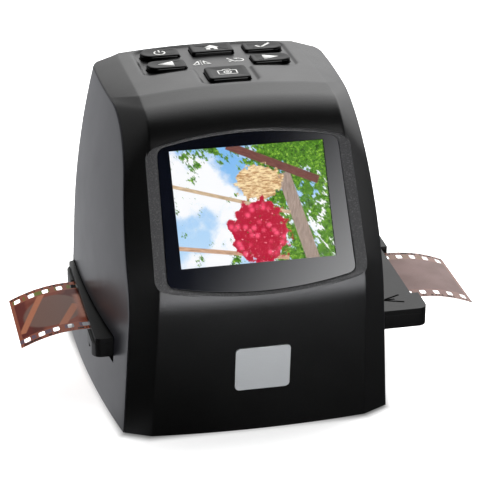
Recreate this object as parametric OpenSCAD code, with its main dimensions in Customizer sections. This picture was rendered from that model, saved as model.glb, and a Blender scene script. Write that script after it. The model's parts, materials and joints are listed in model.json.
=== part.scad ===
// Table-top scanner for 35 mm film strips.
// X runs to the right, Y to the back and Z up. The origin is on the floor, under the middle of the body.

/* [Body] */
// Front of the band where it meets the floor
front_y = -42; // [-46:0.5:-40]
// Back face of the body
back_y = 42.5; // [41:0.5:48]
// Forward lean of the lower front, in degrees
front_lean = 5.5; // [2:0.5:8]
// Height of the band's edge at the front of the top deck
deck_front_z = 100.9; // [98:0.1:106]
// Height of the band's edge at the back of the top deck
deck_back_z = 99.6; // [98:0.1:104]
// Line across the top where the deck meets the shoulder
crease_y = -3; // [-6:0.5:0]
// Rise of the shoulder towards the deck, in degrees
shoulder_rise = 6; // [3:1:12]
// Height of the crown in the middle of the band
crown = 2; // [0.5:0.1:3]
// Half width of the band at the floor
band_half = 34.9; // [33.5:0.1:36]
// How far the band's edge leans in for each mm of height
band_taper = 0.044; // [0.03:0.002:0.05]
// How far the body's front edge on the floor stands out past the band
flank_out = 8.5; // [7:0.1:11]
// How far the flank leans in for each mm of height
flank_taper = 0.051; // [0.04:0.001:0.06]
// How much wider the body gets towards the back
flare = 5.8; // [3:0.1:7]
// Height from which the flanks curl in towards the top
curl_z = 45; // [40:1:55]
// Radius of that curl
curl_r = 260; // [200:10:400]
// Front edge of the flank on the floor
flank_y = -37.7; // [-39:0.1:-37]
// Height of the flank's top edge
flank_top_z = 97; // [95:0.1:98]
// Backward tilt of the flank's sloping edge, in degrees
flank_tilt = 26; // [22:1:29]
// Radius of the back corners
back_corner_r = 6; // [3:0.5:9]
// Wall thickness of the mouldings
wall = 2; // [1.6:0.1:2.4]
// Gap between mouldings of one housing
seam = 0.05; // [0.02:0.01:0.1]

/* [Screen] */
// Backward tilt of the screen, in degrees from upright
screen_tilt = 31.2; // [28:0.2:34]
// Height of the screen's centre on the sloping face
screen_z = 73; // [71:0.5:74]
// Place of the screen's centre on the sloping face
screen_y = -34.9; // [-36:0.1:-34]
// Width of the lit picture, 2.4 inches across its corners
picture_w = 48.96; // [44:0.01:50]
// Height of the lit picture
picture_h = 36.72; // [33:0.01:38]
// Half width of the window at its top edge
lens_top_half = 28.4; // [27:0.1:29]
// Half width of the window at its bottom edge
lens_bottom_half = 29.8; // [29:0.1:30.8]
// Window's top corners above the screen's centre
lens_top = 21.2; // [20:0.1:22]
// Window's bottom corners below the screen's centre
lens_bottom = 21.8; // [20:0.1:22.5]
// Bow of the window's top and bottom edges
lens_bow = 3.2; // [1:0.1:4]
// Thickness of the window
lens_t = 1.2; // [1:0.1:1.5]
// Depth of the dished surround, at the window
dish_depth = 0.7; // [0.4:0.1:1.8]
// Thickness of the display module
lcd_t = 2.6; // [2:0.1:3.2]

/* [Buttons] */
// Distance of the outer buttons from the middle
button_x = 17.4; // [17:0.1:18]
// Line of the back row of buttons
row1_y = 33.2; // [32.5:0.1:34]
// Line of the middle row of buttons
row2_y = 20.8; // [20:0.1:21.5]
// Line of the capture button
row3_y = 6.9; // [6:0.1:8]
// Width of an outer button
button_w = 13; // [11:0.1:13.6]
// Depth of an outer button
button_d = 7.4; // [6:0.1:8]
// Width and depth of the home button
home_size = [14.2, 8.2];
// Width and depth of the capture button
capture_size = [13.8, 11.4];
// How far a button stands above the deck
button_proud = 0.7; // [0.5:0.1:1.5]
// How far a button travels
button_travel = 0.5; // [0.3:0.05:0.8]
// Clearance all round a button in its hole
button_gap = 0.25; // [0.15:0.05:0.4]
// Depth of the sunk keypad area
keypad_depth = 0.7; // [0.3:0.1:1]

/* [Film adapter] */
// Middle of the adapter across its slot
adapter_y = 5; // [4:0.5:6]
// Width of the adapter
adapter_w = 60; // [56:0.5:61]
// Length of the adapter
adapter_l = 111; // [100:1:116]
// How far the adapter's middle stands to the right
adapter_x = 5; // [0:0.5:8]
// Height of the adapter's underside
adapter_z = 21.7; // [20.5:0.1:22.5]
// Thickness of the closed adapter
adapter_t = 6.5; // [5.5:0.1:7]
// Thickness of the adapter's lid
lid_t = 1.9; // [1.6:0.1:2.2]
// Clearance round the adapter in its guide
adapter_gap = 0.3; // [0.2:0.05:0.5]
// Corner radius of the adapter
adapter_r = 3; // [2:0.5:4]
// Radius of the lid's hinge pin
pin_r = 0.8; // [0.6:0.05:0.9]

/* [Film] */
// Width of the film
film_w = 35; // [34.9:0.05:35.1]
// Thickness of the film
film_t = 0.14; // [0.12:0.01:0.18]
// Frames on the strip
frame_count = 4; // [3:1:5]
// Distance from one frame to the next, eight perforations
frame_pitch = 38; // [38:1:38]
// How far the free ends of the strip hang down
film_droop = 4.6; // [1:0.1:4.8]
// Opening over and under a frame, along and across the film
gate_size = [37, 25];

/* [Inside] */
// Height of the feet under the body
foot_h = 0.8; // [0.5:0.1:1.5]
// Thickness of the circuit boards
board_t = 1.6; // [1:0.1:1.6]
// Height of the camera's sensor board
sensor_z = 66; // [62:0.5:70]
// Radius of the camera's lens barrel
barrel_r = 7; // [5:0.5:8]
// Radius of the video socket's bore, for a 3.5 mm plug
jack_r = 1.8; // [1.75:0.05:2]

/* [Hidden] */

$fn = 48;
eps = 0.01;          // overlap that joins two shapes of one piece
far = 150;           // longer than the body in any direction
slice = 0.02;        // thickness of the thin slices that a hull is stretched over
arc_steps = 5;       // straight steps in a rounded corner of the body's outline

// ---- colours ----
shell_black = [0.10, 0.10, 0.11];
gloss_black = [0.04, 0.04, 0.05];
board_green = [0.10, 0.35, 0.20];
metal = [0.75, 0.76, 0.78];

// ---- outlines of the body, as [y, z] ----
function unit(v) = v / norm(v);
function turn(a) = a > 180 ? a - 360 : (a < -180 ? a + 360 : a);
// Points of the arc of radius r that rounds the corner b of the path a, b, c
function fillet(a, b, c, r) =
    let (u = unit(a - b), w = unit(c - b), half = acos(u * w) / 2,
         reach = min(r / tan(half), 0.48 * norm(a - b), 0.48 * norm(c - b)), rr = reach * tan(half),
         mid = b + unit(u + w) * rr / sin(half), s = b + u * reach - mid, e = b + w * reach - mid,
         from = atan2(s[1], s[0]), sweep = turn(atan2(e[1], e[0]) - from))
    [for (i = [0:arc_steps]) mid + rr * [cos(from + sweep * i / arc_steps), sin(from + sweep * i / arc_steps)]];

slope_run = tan(screen_tilt);
function slope_y(z) = screen_y + (z - screen_z) * slope_run;
brow_z = (front_y - screen_y + screen_z * slope_run) / (slope_run + tan(front_lean));
brow = [slope_y(brow_z), brow_z];
shoulder_z = (deck_front_z - tan(shoulder_rise) * (crease_y - screen_y + screen_z * slope_run))
    / (1 - tan(shoulder_rise) * slope_run);
shoulder = [slope_y(shoulder_z), shoulder_z];
brow_r = 25;
shoulder_r = 22;
back_r = 1;
under = 10;          // how far the form runs on below the floor, before it is cut off
// Outline of the band's edge. Where the band is crowned, its front and top rise but its back stays flat.
function band_outline(rise) =
    let (crease = [crease_y, deck_front_z], back = [back_y - rise, deck_back_z], heel = [back[0], -under],
         toe = [front_y + tan(front_lean) * under, -under])
    concat([toe], fillet(toe, brow, shoulder, brow_r), fillet(brow, shoulder, crease, shoulder_r), [crease],
        fillet(crease, back, heel, back_r), [heel]);

bevel_depth = 4.6;   // how far the flank's sloping edge lies behind the band
flank_run = tan(flank_tilt);
flank_mid = [slope_y(70) + bevel_depth * 2, 70];
flank_lean = 0.03;   // forward run of the flank's lower edge for each mm of height
flank_brow_z = (flank_y - flank_mid[0] + flank_mid[1] * flank_run) / (flank_run + flank_lean);
flank_brow = [flank_y - flank_lean * flank_brow_z, flank_brow_z];
flank_shoulder = [flank_mid[0] + (flank_top_z - flank_mid[1]) * flank_run, flank_top_z];
flank_r = 30;
flank_path = [[flank_y + flank_lean * under, -under], flank_brow, flank_shoulder, [back_y, flank_top_z],
    [back_y, -under]];
flank_outline = concat([flank_path[0]], fillet(flank_path[0], flank_brow, flank_shoulder, flank_r),
    fillet(flank_brow, flank_shoulder, flank_path[3], flank_r),
    fillet(flank_shoulder, flank_path[3], flank_path[4], back_r), [flank_path[4]]);

// ---- half widths of the body ----
flank_half = band_half + flank_out;
widest_y = 30;       // where the flanks are widest
flare_span = 67.5;   // from the widest place to the front corner
function band_x(z) = band_half - band_taper * z;
function curl_at(z) = pow(max(z - curl_z, 0), 2) / (2 * curl_r);
function flank_x(y, z) = flank_half - flank_taper * z - curl_at(z) + flare * (1 - pow((widest_y - y) / flare_span, 2));
function deck_z(x, y) = deck_front_z - (deck_front_z - deck_back_z) * (y - crease_y) / (back_y - crease_y)
    + crown * (1 - pow(x / band_x(deck_front_z), 2));

form_top = deck_front_z + 11;
level_z = [-under, 30, 60, 80, 90, 100, form_top];
plan_steps = 8;
plan_front = -55;    // in front of the whole body
// Right half of the body's plan at one height, from its front to its rounded back corner
function half_plan(z, inset) =
    let (last = back_y - back_corner_r, r = back_corner_r - inset, x1 = flank_x(last, z) - back_corner_r)
    concat([for (i = [0:plan_steps]) let (y = plan_front + (last - plan_front) * i / plan_steps)
            [flank_x(y, z) - inset, y]],
        [for (i = [1:arc_steps]) let (a = 90 * i / arc_steps) [x1 + r * cos(a), last + r * sin(a)]]);
// The same without the rounded corner: it runs on past the back
function open_half_plan(z, inset) =
    [for (i = [0:plan_steps]) let (y = plan_front + (back_y + 5 - plan_front) * i / plan_steps)
        [flank_x(y, z) - inset, y]];
function both_halves(h) = concat(h, [for (i = [len(h) - 1:-1:0]) [-h[i][0], h[i][1]]]);

// Whatever lies between the two flanks and their rounded corners, drawn in by inset
module flanked(inset) {
    hull() for (z = level_z) translate([0, 0, z]) linear_extrude(slice) polygon(both_halves(half_plan(z, inset)));
}
// Whatever lies between the inner faces of the two side panels
module between_panels(inset) {
    hull() for (z = level_z) translate([0, 0, z]) linear_extrude(slice)
        polygon(both_halves(open_half_plan(z, inset)));
}
module beyond_panels(inset) {
    difference() {
        translate([-far, -far, -far]) cube(2 * far);
        between_panels(inset);
    }
}

// A slice of a [y, z] outline, standing across the body at x
module standing(x, thick) {
    translate([x, 0, 0]) rotate([90, 0, 90]) linear_extrude(thick) children();
}

// The crowned band, as slices from edge to edge
crown_slices = [-1, -0.72, -0.4, 0, 0.4, 0.72, 1];
band_levels = [-under - 5, 0, 30, 60, 90, form_top + 8];
module band_slices(inset) {
    for (k = crown_slices, part = [1:len(band_levels) - 1])
        intersection() {
            z0 = band_levels[part - 1];
            z1 = band_levels[part];
            standing(k * (band_x(z1) - inset) - slice / 2, slice)
                offset(delta = crown * (1 - k * k) - inset) polygon(band_outline(crown * (1 - k * k)));
            translate([-far, -far, z0]) cube([2 * far, 2 * far, z1 - z0]);
        }
}

// The whole outer form of the body, drawn in by inset on all sides
module body_form(inset) {
    hull() {
        band_slices(inset);
        intersection() {
            standing(-far, 2 * far) offset(delta = -inset) polygon(flank_outline);
            flanked(inset);
        }
    }
}

body_bottom = foot_h;
module below_body() {
    translate([-far, -far, body_bottom - far]) cube([2 * far, 2 * far, far]);
}

// ---- places on the sloping face: local X across, local Y up the slope, local Z out of it ----
module on_slope() {
    translate([0, screen_y, screen_z]) rotate([90 - screen_tilt, 0, 0]) children();
}
bow_r = (lens_top_half * lens_top_half + lens_bow * lens_bow) / (2 * lens_bow);
lens_gap = 0.15;
module bowed_plate(grow, side = 0) {
    intersection() {
        polygon([[-lens_bottom_half - grow - side, -lens_bottom - lens_bow - grow],
            [lens_bottom_half + grow + side, -lens_bottom - lens_bow - grow],
            [lens_top_half + grow + side, lens_top + lens_bow + grow],
            [-lens_top_half - grow - side, lens_top + lens_bow + grow]]);
        translate([0, lens_top + lens_bow - bow_r]) circle(bow_r + grow, $fn = 240);
        translate([0, -lens_bottom - lens_bow + bow_r]) circle(bow_r + grow, $fn = 240);
    }
}
lens_seat = -dish_depth;                  // level of the window's outer face
dish_grow = 1.4;                          // how far the sunk surround reaches past the window
dish_side = 3;                            // and how much further at its sides, on to the bevels
sill_t = 0.8;                             // thickness of the sill behind the window
sill_low = lens_seat - lens_t - seam - sill_t;
lcd_top = sill_low - seam;                // level of the display's face
lcd_size = [2 * (lens_bottom_half - 0.2), picture_h + 5.68];
lcd_shift = 1;                            // the display's middle above the screen's centre
picture_up = 2.1;                         // the picture's middle above it
picture_left = 0.5;                       // and to the left of it
picture_rim = 0.8;                        // opening round the picture, behind the window
frame_rim = 1.6;
frame_back = lcd_top - lcd_t - frame_rim;
ear_t = 1;
frame_half = lcd_size / 2 + [frame_rim, frame_rim];
frame_wall = frame_rim + lcd_t - 1.8;
ear_rows = [-8, 12];
ear_r = 2;
frame_ears = [for (s = [-1, 1], y = ear_rows) [s * (frame_half[0] + ear_r + 0.2), y]];
frame_gap = 0.15;

// ---- the keypad ----
keypad_half = 25.4;
keypad_back = 39.4;
keypad_waist = 14.6;
keypad_front = -1;
keypad_neck = 9.2;
keypad_r = 3;
module keypad_outline() {
    for (s = [-1, 1], y = [keypad_waist + keypad_r, keypad_back - keypad_r])
        translate([s * (keypad_half - keypad_r), y]) circle(keypad_r);
    translate([-keypad_half, keypad_waist + keypad_r])
        square([2 * keypad_half, keypad_back - keypad_waist - 2 * keypad_r]);
    translate([-keypad_half + keypad_r, keypad_waist])
        square([2 * (keypad_half - keypad_r), keypad_back - keypad_waist]);
    translate([-keypad_neck, keypad_front + keypad_r])
        square([2 * keypad_neck, keypad_waist - keypad_front]);
    translate([-keypad_neck + keypad_r, keypad_front])
        square([2 * (keypad_neck - keypad_r), keypad_waist - keypad_front]);
    for (s = [-1, 1]) translate([s * (keypad_neck - keypad_r), keypad_front + keypad_r]) circle(keypad_r);
}

// A button's outline: a rectangle with a corner radius of its own at each end
module cap_outline(size, left_r, right_r, grow = 0) {
    w = size[0] + 2 * grow;
    d = size[1] + 2 * grow;
    for (end = [[-1, left_r + grow], [1, right_r + grow]]) {
        for (s = [-1, 1])
            translate([end[0] * (w / 2 - end[1]), s * (d / 2 - end[1])]) circle(end[1]);
        translate([end[0] * (w / 2 - end[1] / 2) - end[1] / 2, -d / 2 + end[1]])
            square([end[1], max(d - 2 * end[1], eps)]);
    }
    translate([-w / 2 + left_r + grow, -d / 2]) square([w - left_r - right_r - 2 * grow, d]);
}
round_end = button_d / 2 - 0.05;
small_r = 1.2;
// Each button: its place, size and the corner radius at its left and right end
power_key = [[-button_x, row1_y], [button_w, button_d], round_end, small_r];
home_key = [[0, row1_y - 0.4], home_size, small_r, small_r];
confirm_key = [[button_x, row1_y], [button_w, button_d], small_r, round_end];
left_key = [[-button_x, row2_y], [button_w, button_d], round_end, small_r];
right_key = [[button_x, row2_y], [button_w, button_d], small_r, round_end];
capture_key = [[0, row3_y], capture_size, 1.6, 1.6];
KEYS = [power_key, home_key, confirm_key, left_key, right_key, capture_key];

button_board_z = deck_front_z - 10.9;
switch_top = button_board_z + board_t + 2.2;
stem_clear = 0.1;
flange_t = 0.8;
flange_grow = 0.9;
flange_clear = 0.3;
function key_top(k) = deck_z(k[0][0], k[0][1]) + button_proud;
function key_reach(k) = abs(k[0][0]) + k[1][0] / 2 + flange_grow;
function key_flange(k) = deck_z(key_reach(k), k[0][1] + k[1][1] / 2 + flange_grow) - wall - flange_clear;
module button_cap(k) {
    color(gloss_black) translate([k[0][0], k[0][1], 0]) {
        translate([0, 0, key_flange(k) - flange_t])
            linear_extrude(key_top(k) - key_flange(k) + flange_t) cap_outline(k[1], k[2], k[3]);
        translate([0, 0, key_flange(k) - flange_t])
            linear_extrude(flange_t) cap_outline(k[1], k[2], k[3], flange_grow);
        translate([0, 0, switch_top + button_travel + stem_clear])
            cylinder(r = 1.5, h = key_flange(k) - switch_top - button_travel - stem_clear - flange_t + eps);
    }
}

// ---- the slot and the guide for the film adapter ----
slot_y = adapter_y - adapter_w / 2 - 1;
slot_w = adapter_w + 2;
slot_low = adapter_z - 1.9;
slot_top = adapter_z + adapter_t + 0.9;
guide_wall = 1.5;
guide_half = 39;
guide_low = adapter_z - adapter_gap;
guide_top = adapter_z + adapter_t + adapter_gap;
guide_in = adapter_w / 2 + adapter_gap;
film_relief = 0.8;   // depth of the channel that lets the hanging film end through
guide_floor_t = guide_wall + film_relief;
guide_back = adapter_y + guide_in + guide_wall;

// ---- screws ----
screw_r = 1.2;
screw_head_r = 2.3;
screw_head_t = 1.2;
post_r = 3;
post_h = 12;
screw_sunk = 0.1;
post_front = [flank_half - 7.4, flank_y + 10.7];
post_back = [flank_half - 4.4, back_y - 7];
post_places = [for (s = [-1, 1], p = [post_front, post_back]) [s * p[0], p[1]]];
base_t = 2.4;
base_top = body_bottom + base_t;
module screw(length) {
    cylinder(r = screw_head_r, h = screw_head_t);
    cylinder(r = screw_r, h = length);
}

module front_cover() {
    color(shell_black) difference() {
        body_form(0);
        below_body();
        translate([-far, back_y - wall - seam, -far]) cube(2 * far);
        beyond_panels(wall + seam);
        front_hollow();
        on_slope() {
            for (p = frame_ears) {
                translate([p[0], p[1], frame_back]) cylinder(r = screw_r + seam, h = 3.2);
                translate([p[0], p[1], frame_back - 3]) cylinder(r = screw_head_r + 0.2, h = 3);
            }
            translate([-lcd_size[0] / 2 - seam, lcd_shift - lcd_size[1] / 2 - seam, frame_back])
                cube([lcd_size[0] + 2 * seam, lcd_size[1] + 2 * seam, sill_low - frame_back]);
            frame_block(frame_gap);
            translate([0, 0, lens_seat]) linear_extrude(far / 3) bowed_plate(dish_grow, dish_side);
            translate([0, 0, lens_seat - lens_t - seam]) linear_extrude(far / 3) bowed_plate(lens_gap);
            translate([-picture_left - picture_w / 2 - picture_rim, picture_up - picture_h / 2 - picture_rim, -12])
                cube([picture_w + 2 * picture_rim, picture_h + 2 * picture_rim, 12]);
        }
        for (k = KEYS) translate([k[0][0], k[0][1], button_board_z])
            linear_extrude(far) cap_outline(k[1], k[2], k[3], button_gap);
        difference() {
            translate([0, 0, button_board_z + board_t]) linear_extrude(far) keypad_outline();
            body_form(keypad_depth);
        }
        at_nameplate() linear_extrude(5) rounded_plate([plate_size[0] + 2 * seam, plate_size[1] + 2 * seam], plate_r);
    }
}

// The hollow of the front cover, with the posts for the button board left standing
board_half = keypad_half + 4.6;
button_board_y = [keypad_front + 2.4, keypad_back - 0.4];
board_posts = [for (s = [-1, 1], y = [button_board_y[0] + 8.5, button_board_y[1] - 3]) [s * (board_half - 2.4), y]];
module front_hollow() {
    difference() {
        body_form(wall);
        for (p = board_posts) difference() {
            translate([p[0], p[1], button_board_z + board_t]) cylinder(r = 2.2, h = 20);
            translate([p[0], p[1], button_board_z - 1]) cylinder(r = screw_r + seam, h = 7);
        }
        for (p = frame_ears) on_slope() translate([p[0], p[1], frame_back + ear_t]) cylinder(r = ear_r, h = 9);
        // the sill that carries the window from behind
        on_slope() translate([0, 0, sill_low]) linear_extrude(crown - sill_low) bowed_plate(dish_grow + 2, dish_side);
    }
}

// One side panel, with its adapter slot and the posts for the case screws
module side_panel(side) {
    color(shell_black) {
        difference() {
            body_form(0);
            below_body();
            translate([side > 0 ? -2 * far : 0, -far, -far]) cube(2 * far);
            between_panels(wall);
            translate([-far, slot_y, slot_low]) cube([2 * far, slot_w, slot_top - slot_low]);
        }
        for (p = post_places) if (p[0] * side > 0) screw_post(p, side);
    }
}
module screw_post(p, side) {
    skin_x = flank_x(p[1], base_top) - wall;
    difference() {
        union() {
            translate([p[0], p[1], base_top + seam]) cylinder(r = post_r, h = post_h);
            intersection() {
                translate([min(p[0], side * (skin_x + 1)), p[1] - 1, base_top + seam])
                    cube([abs(skin_x + 1 - abs(p[0])), 2, post_h]);
                between_panels(wall - 0.4);
            }
        }
        translate([p[0], p[1], 0]) cylinder(r = screw_r + seam, h = post_h);
    }
}
module left_side_panel() {
    side_panel(-1);
}
module right_side_panel() {
    side_panel(1);
}

// ---- sockets in the back ----
main_board_z = guide_top + guide_wall + 2.6;
main_board_y = [adapter_y + 15, back_y - wall - 1.2];
main_board_half = 34;
usb_x = 20;
usb_size = [8, 9, 4];
jack_x = 4;
jack_size = [7, 12, 6];
card_x = -14;
card_size = [26, 19, 3.2];
socket_z = main_board_z + board_t;
jack_z = socket_z + jack_size[2] / 2;
module rear_cover() {
    color(shell_black) difference() {
        body_form(0);
        below_body();
        translate([-far, back_y - wall - 2 * far, -far]) cube(2 * far);
        beyond_panels(wall + seam);
        translate([usb_x - usb_size[0] / 2 - 0.3, back_y - far / 2, socket_z - 0.3])
            cube([usb_size[0] + 0.6, far, usb_size[2] + 0.6]);
        translate([jack_x, back_y - wall - 1, jack_z]) rotate([-90, 0, 0]) cylinder(r = 3.2, h = 10);
        translate([card_x - card_size[0] / 2 - 0.3, back_y - far / 2, socket_z - 0.3])
            cube([card_size[0] + 0.6, far, card_size[2] + 0.6]);
    }
}

module base_cover() {
    color(shell_black) difference() {
        body_form(wall + seam);
        below_body();
        translate([-far, -far, base_top]) cube(2 * far);
        for (p = post_places) translate([p[0], p[1], 0]) {
            cylinder(r = screw_r + 0.2, h = 10);
            cylinder(r = screw_head_r + 0.2, h = body_bottom + screw_sunk + screw_head_t);
        }
        for (p = foot_places) translate([p[0], p[1], 0]) cylinder(r = foot_r + seam, h = body_bottom + foot_sunk);
    }
}

foot_r = 4;
foot_sunk = 0.8;
foot_x = flank_half - 17.4;
foot_places = concat([[0, 0]], [for (s = [-1, 1], y = [front_y + 11, back_y - 12.5]) [s * foot_x, y]]);
module rubber_feet() {
    color([0.15, 0.15, 0.15]) for (p = foot_places) translate([p[0], p[1], 0])
        cylinder(r = foot_r, h = foot_h + foot_sunk - seam);
}

plate_size = [17.6, 15.5];
plate_z = 24;
plate_t = 0.9;
plate_r = 1.5;
plate_sunk = 0.6;
// The crowned front's own face at the nameplate, with local Z pointing out of it
module at_nameplate() {
    translate([0, front_y - tan(front_lean) * plate_z - (crown - plate_sunk) / cos(front_lean), plate_z])
        rotate([90 + front_lean, 0, 0]) children();
}
module nameplate() {
    color([0.72, 0.73, 0.75]) at_nameplate() linear_extrude(plate_t) rounded_plate(plate_size, plate_r);
}
module rounded_plate(size, r) {
    for (sx = [-1, 1], sy = [-1, 1]) translate([sx * (size[0] / 2 - r), sy * (size[1] / 2 - r)]) circle(r);
    square([size[0] - 2 * r, size[1]], center = true);
    square([size[0], size[1] - 2 * r], center = true);
}

module screen_lens() {
    color(gloss_black, 0.6) on_slope() translate([0, 0, lens_seat - lens_t]) linear_extrude(lens_t) bowed_plate(0);
}
module lcd_panel() {
    color([0.35, 0.55, 0.75]) on_slope() translate([-lcd_size[0] / 2, -lcd_size[1] / 2 + lcd_shift, lcd_top - lcd_t])
        cube([lcd_size[0], lcd_size[1], lcd_t]);
}
// The outline of the display's tray with its ears
module frame_block(grow) {
    ear_half = frame_half[0] + 2 * ear_r + 0.2 + grow;
    translate([-frame_half[0] - grow, lcd_shift - frame_half[1] - grow, frame_back])
        cube([2 * (frame_half[0] + grow), 2 * (frame_half[1] + grow), frame_wall + grow]);
    for (y = ear_rows) translate([-ear_half, y - ear_r - 0.2 - grow, frame_back])
        cube([2 * ear_half, 2 * (ear_r + 0.2 + grow), ear_t]);
}
// A tray behind the display that presses it against the sill
module lcd_frame() {
    color([0.25, 0.25, 0.27]) on_slope() difference() {
        frame_block(0);
        translate([-lcd_size[0] / 2 - 0.1, lcd_shift - lcd_size[1] / 2 - 0.1, frame_back + frame_rim])
            cube([lcd_size[0] + 0.2, lcd_size[1] + 0.2, far]);
        translate([-lcd_size[0] / 2 + 6, lcd_shift - lcd_size[1] / 2 + 6, frame_back - eps])
            cube([lcd_size[0] - 12, lcd_size[1] - 12, far]);
        for (p = frame_ears) translate([p[0], p[1], frame_back - 1]) cylinder(r = screw_r + 0.2, h = 4);
    }
}

module power_button() {
    button_cap(power_key);
}
module home_button() {
    button_cap(home_key);
}
module confirm_button() {
    button_cap(confirm_key);
}
module left_button() {
    button_cap(left_key);
}
module right_button() {
    button_cap(right_key);
}
module capture_button() {
    button_cap(capture_key);
}

module button_board() {
    color(board_green) difference() {
        translate([-board_half, button_board_y[0], button_board_z])
            cube([2 * board_half, button_board_y[1] - button_board_y[0], board_t]);
        for (p = board_posts) translate([p[0], p[1], button_board_z - 1]) cylinder(r = screw_r + 0.2, h = 4);
    }
}
switch_w = 4.5;
switch_h = 1.6;
module button_switches() {
    color(metal) for (k = KEYS) translate([k[0][0], k[0][1], button_board_z + board_t]) {
        translate([-switch_w / 2, -switch_w / 2, 0]) cube([switch_w, switch_w, switch_h]);
        cylinder(r = 1.1, h = switch_top - button_board_z - board_t);
    }
}

module main_board() {
    color(board_green) difference() {
        translate([-main_board_half, main_board_y[0], main_board_z])
            cube([2 * main_board_half, main_board_y[1] - main_board_y[0], board_t]);
        for (p = board_feet) translate([p[0], p[1], main_board_z - 1]) cylinder(r = screw_r + 0.2, h = 4);
    }
}
board_feet = [for (s = [-1, 1], y = [main_board_y[0] + 4, main_board_y[1] - 3.5]) [s * (main_board_half - 3), y]];
module processor() {
    color([0.12, 0.12, 0.13]) translate([8.5, 21.5, socket_z]) cube([9, 9, 1.1]);
}
module usb_port() {
    color(metal) translate([usb_x - usb_size[0] / 2, back_y - 0.4 - usb_size[1], socket_z]) difference() {
        cube(usb_size);
        translate([0.5, 1.5, 0.5]) cube([usb_size[0] - 1, usb_size[1], usb_size[2] - 1]);
    }
}
module video_jack() {
    color([0.13, 0.13, 0.14]) difference() {
        union() {
            translate([jack_x - jack_size[0] / 2, back_y - wall - 0.3 - jack_size[1], socket_z]) cube(jack_size);
            translate([jack_x, back_y - wall - 0.4, jack_z]) rotate([-90, 0, 0]) cylinder(r = 3, h = wall);
        }
        translate([jack_x, back_y - jack_size[1] - 0.2, jack_z]) rotate([-90, 0, 0])
            cylinder(r = jack_r, h = far);
    }
}
module card_slot() {
    color(metal) translate([card_x - card_size[0] / 2, back_y - wall - card_size[1] + 0.6, socket_z]) difference() {
        cube(card_size);
        translate([0.8, 1.2, 0.5]) cube([card_size[0] - 1.6, card_size[1], card_size[2] - 1]);
    }
}

// The channel that the adapter runs through, with the film gate above and below it
module adapter_guide() {
    low = guide_low - guide_floor_t;
    high = guide_top + guide_wall;
    color([0.18, 0.18, 0.19]) difference() {
        union() {
            translate([-guide_half, adapter_y - guide_in - guide_wall, low])
                cube([2 * guide_half, 2 * (guide_in + guide_wall), high - low]);
            for (p = board_feet) translate([p[0], p[1], high - eps]) cylinder(r = 2.2, h = main_board_z - high + eps);
            for (p = guide_feet) translate([p[0], p[1], base_top]) cylinder(r = 3, h = low - base_top + eps);
        }
        translate([-far, adapter_y - guide_in, guide_low]) cube([2 * far, 2 * guide_in, guide_top - guide_low]);
        translate([-far, adapter_y - film_w / 2 - 1, guide_low - film_relief])
            cube([2 * far, film_w + 2, guide_top - guide_low]);
        translate([-gate_size[0] / 2 - 1, adapter_y - gate_size[1] / 2 - 1, 0])
            cube([gate_size[0] + 2, gate_size[1] + 2, far]);
        for (p = concat(board_feet, bracket_feet)) translate([p[0], p[1], guide_top + 0.3])
            cylinder(r = screw_r + seam, h = far);
    }
}
guide_feet = [for (s = [-1, 1], y = [-19, 19]) [s * (guide_half - 6), adapter_y + y]];
bracket_x = 22;
bracket_feet = [for (s = [-1, 1], y = [-9, 9]) [s * (bracket_x + 4.5), adapter_y + y]];

box_wall = 1.6;
box_low = base_top + board_t;
box_high = guide_low - guide_floor_t;
box_size = [gate_size[0] + 8, gate_size[1] + 8];
module light_box() {
    color([0.92, 0.92, 0.9]) translate([0, adapter_y, box_low]) difference() {
        translate([-box_size[0] / 2, -box_size[1] / 2, 0]) cube([box_size[0], box_size[1], box_high - box_low]);
        translate([-box_size[0] / 2 + box_wall, -box_size[1] / 2 + box_wall, -eps])
            cube([box_size[0] - 2 * box_wall, box_size[1] - 2 * box_wall, far]);
    }
}
diffuser_t = 1.2;
module diffuser() {
    inside = [box_size[0] - 2 * box_wall - 0.1, box_size[1] - 2 * box_wall - 0.1];
    color([0.96, 0.96, 0.94]) translate([-inside[0] / 2, adapter_y - inside[1] / 2, box_high - diffuser_t])
        cube([inside[0], inside[1], diffuser_t]);
}
module led_board() {
    color([0.9, 0.9, 0.88]) translate([-box_size[0] / 2, adapter_y - box_size[1] / 2, base_top])
        cube([box_size[0], box_size[1], board_t]);
}
led_size = [3.5, 2.8, 0.8];
module leds() {
    color([1, 0.95, 0.6]) for (ix = [-1, 0, 1], iy = [-1, 1])
        translate([ix * 11 - led_size[0] / 2, adapter_y + iy * 6 - led_size[1] / 2, box_low]) cube(led_size);
}

// The bridge that holds the camera over the film gate
bracket_base = guide_top + guide_wall;
bracket_top = sensor_z - 4;
bracket_flange = 1.6;
bracket_depth = [adapter_y - 14, adapter_y + 14];
module camera_bracket() {
    depth = bracket_depth[1] - bracket_depth[0];
    color([0.2, 0.2, 0.22]) difference() {
        union() {
            for (s = [-1, 1]) {
                translate([s * bracket_x - 1, bracket_depth[0], bracket_base])
                    cube([2, depth, bracket_top - bracket_base]);
                translate([s > 0 ? bracket_x - 1 : -bracket_x - 8, bracket_depth[0], bracket_base])
                    cube([9, depth, bracket_flange]);
            }
            translate([-bracket_x - 1, bracket_depth[0], bracket_top - 2]) cube([2 * bracket_x + 2, depth, 2]);
            translate([0, adapter_y, bracket_top - 8]) cylinder(r = barrel_r + 2, h = 7);
            for (s = [-1, 1]) translate([s * 14, adapter_y, bracket_top - eps])
                cylinder(r = 2, h = sensor_z - bracket_top + eps);
        }
        translate([0, adapter_y, bracket_top - 20]) cylinder(r = barrel_r + seam, h = 40);
        for (p = bracket_feet) translate([p[0], p[1], 0]) cylinder(r = screw_r + 0.2, h = bracket_base + 10);
    }
}
barrel_low = bracket_top - 10;
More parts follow.
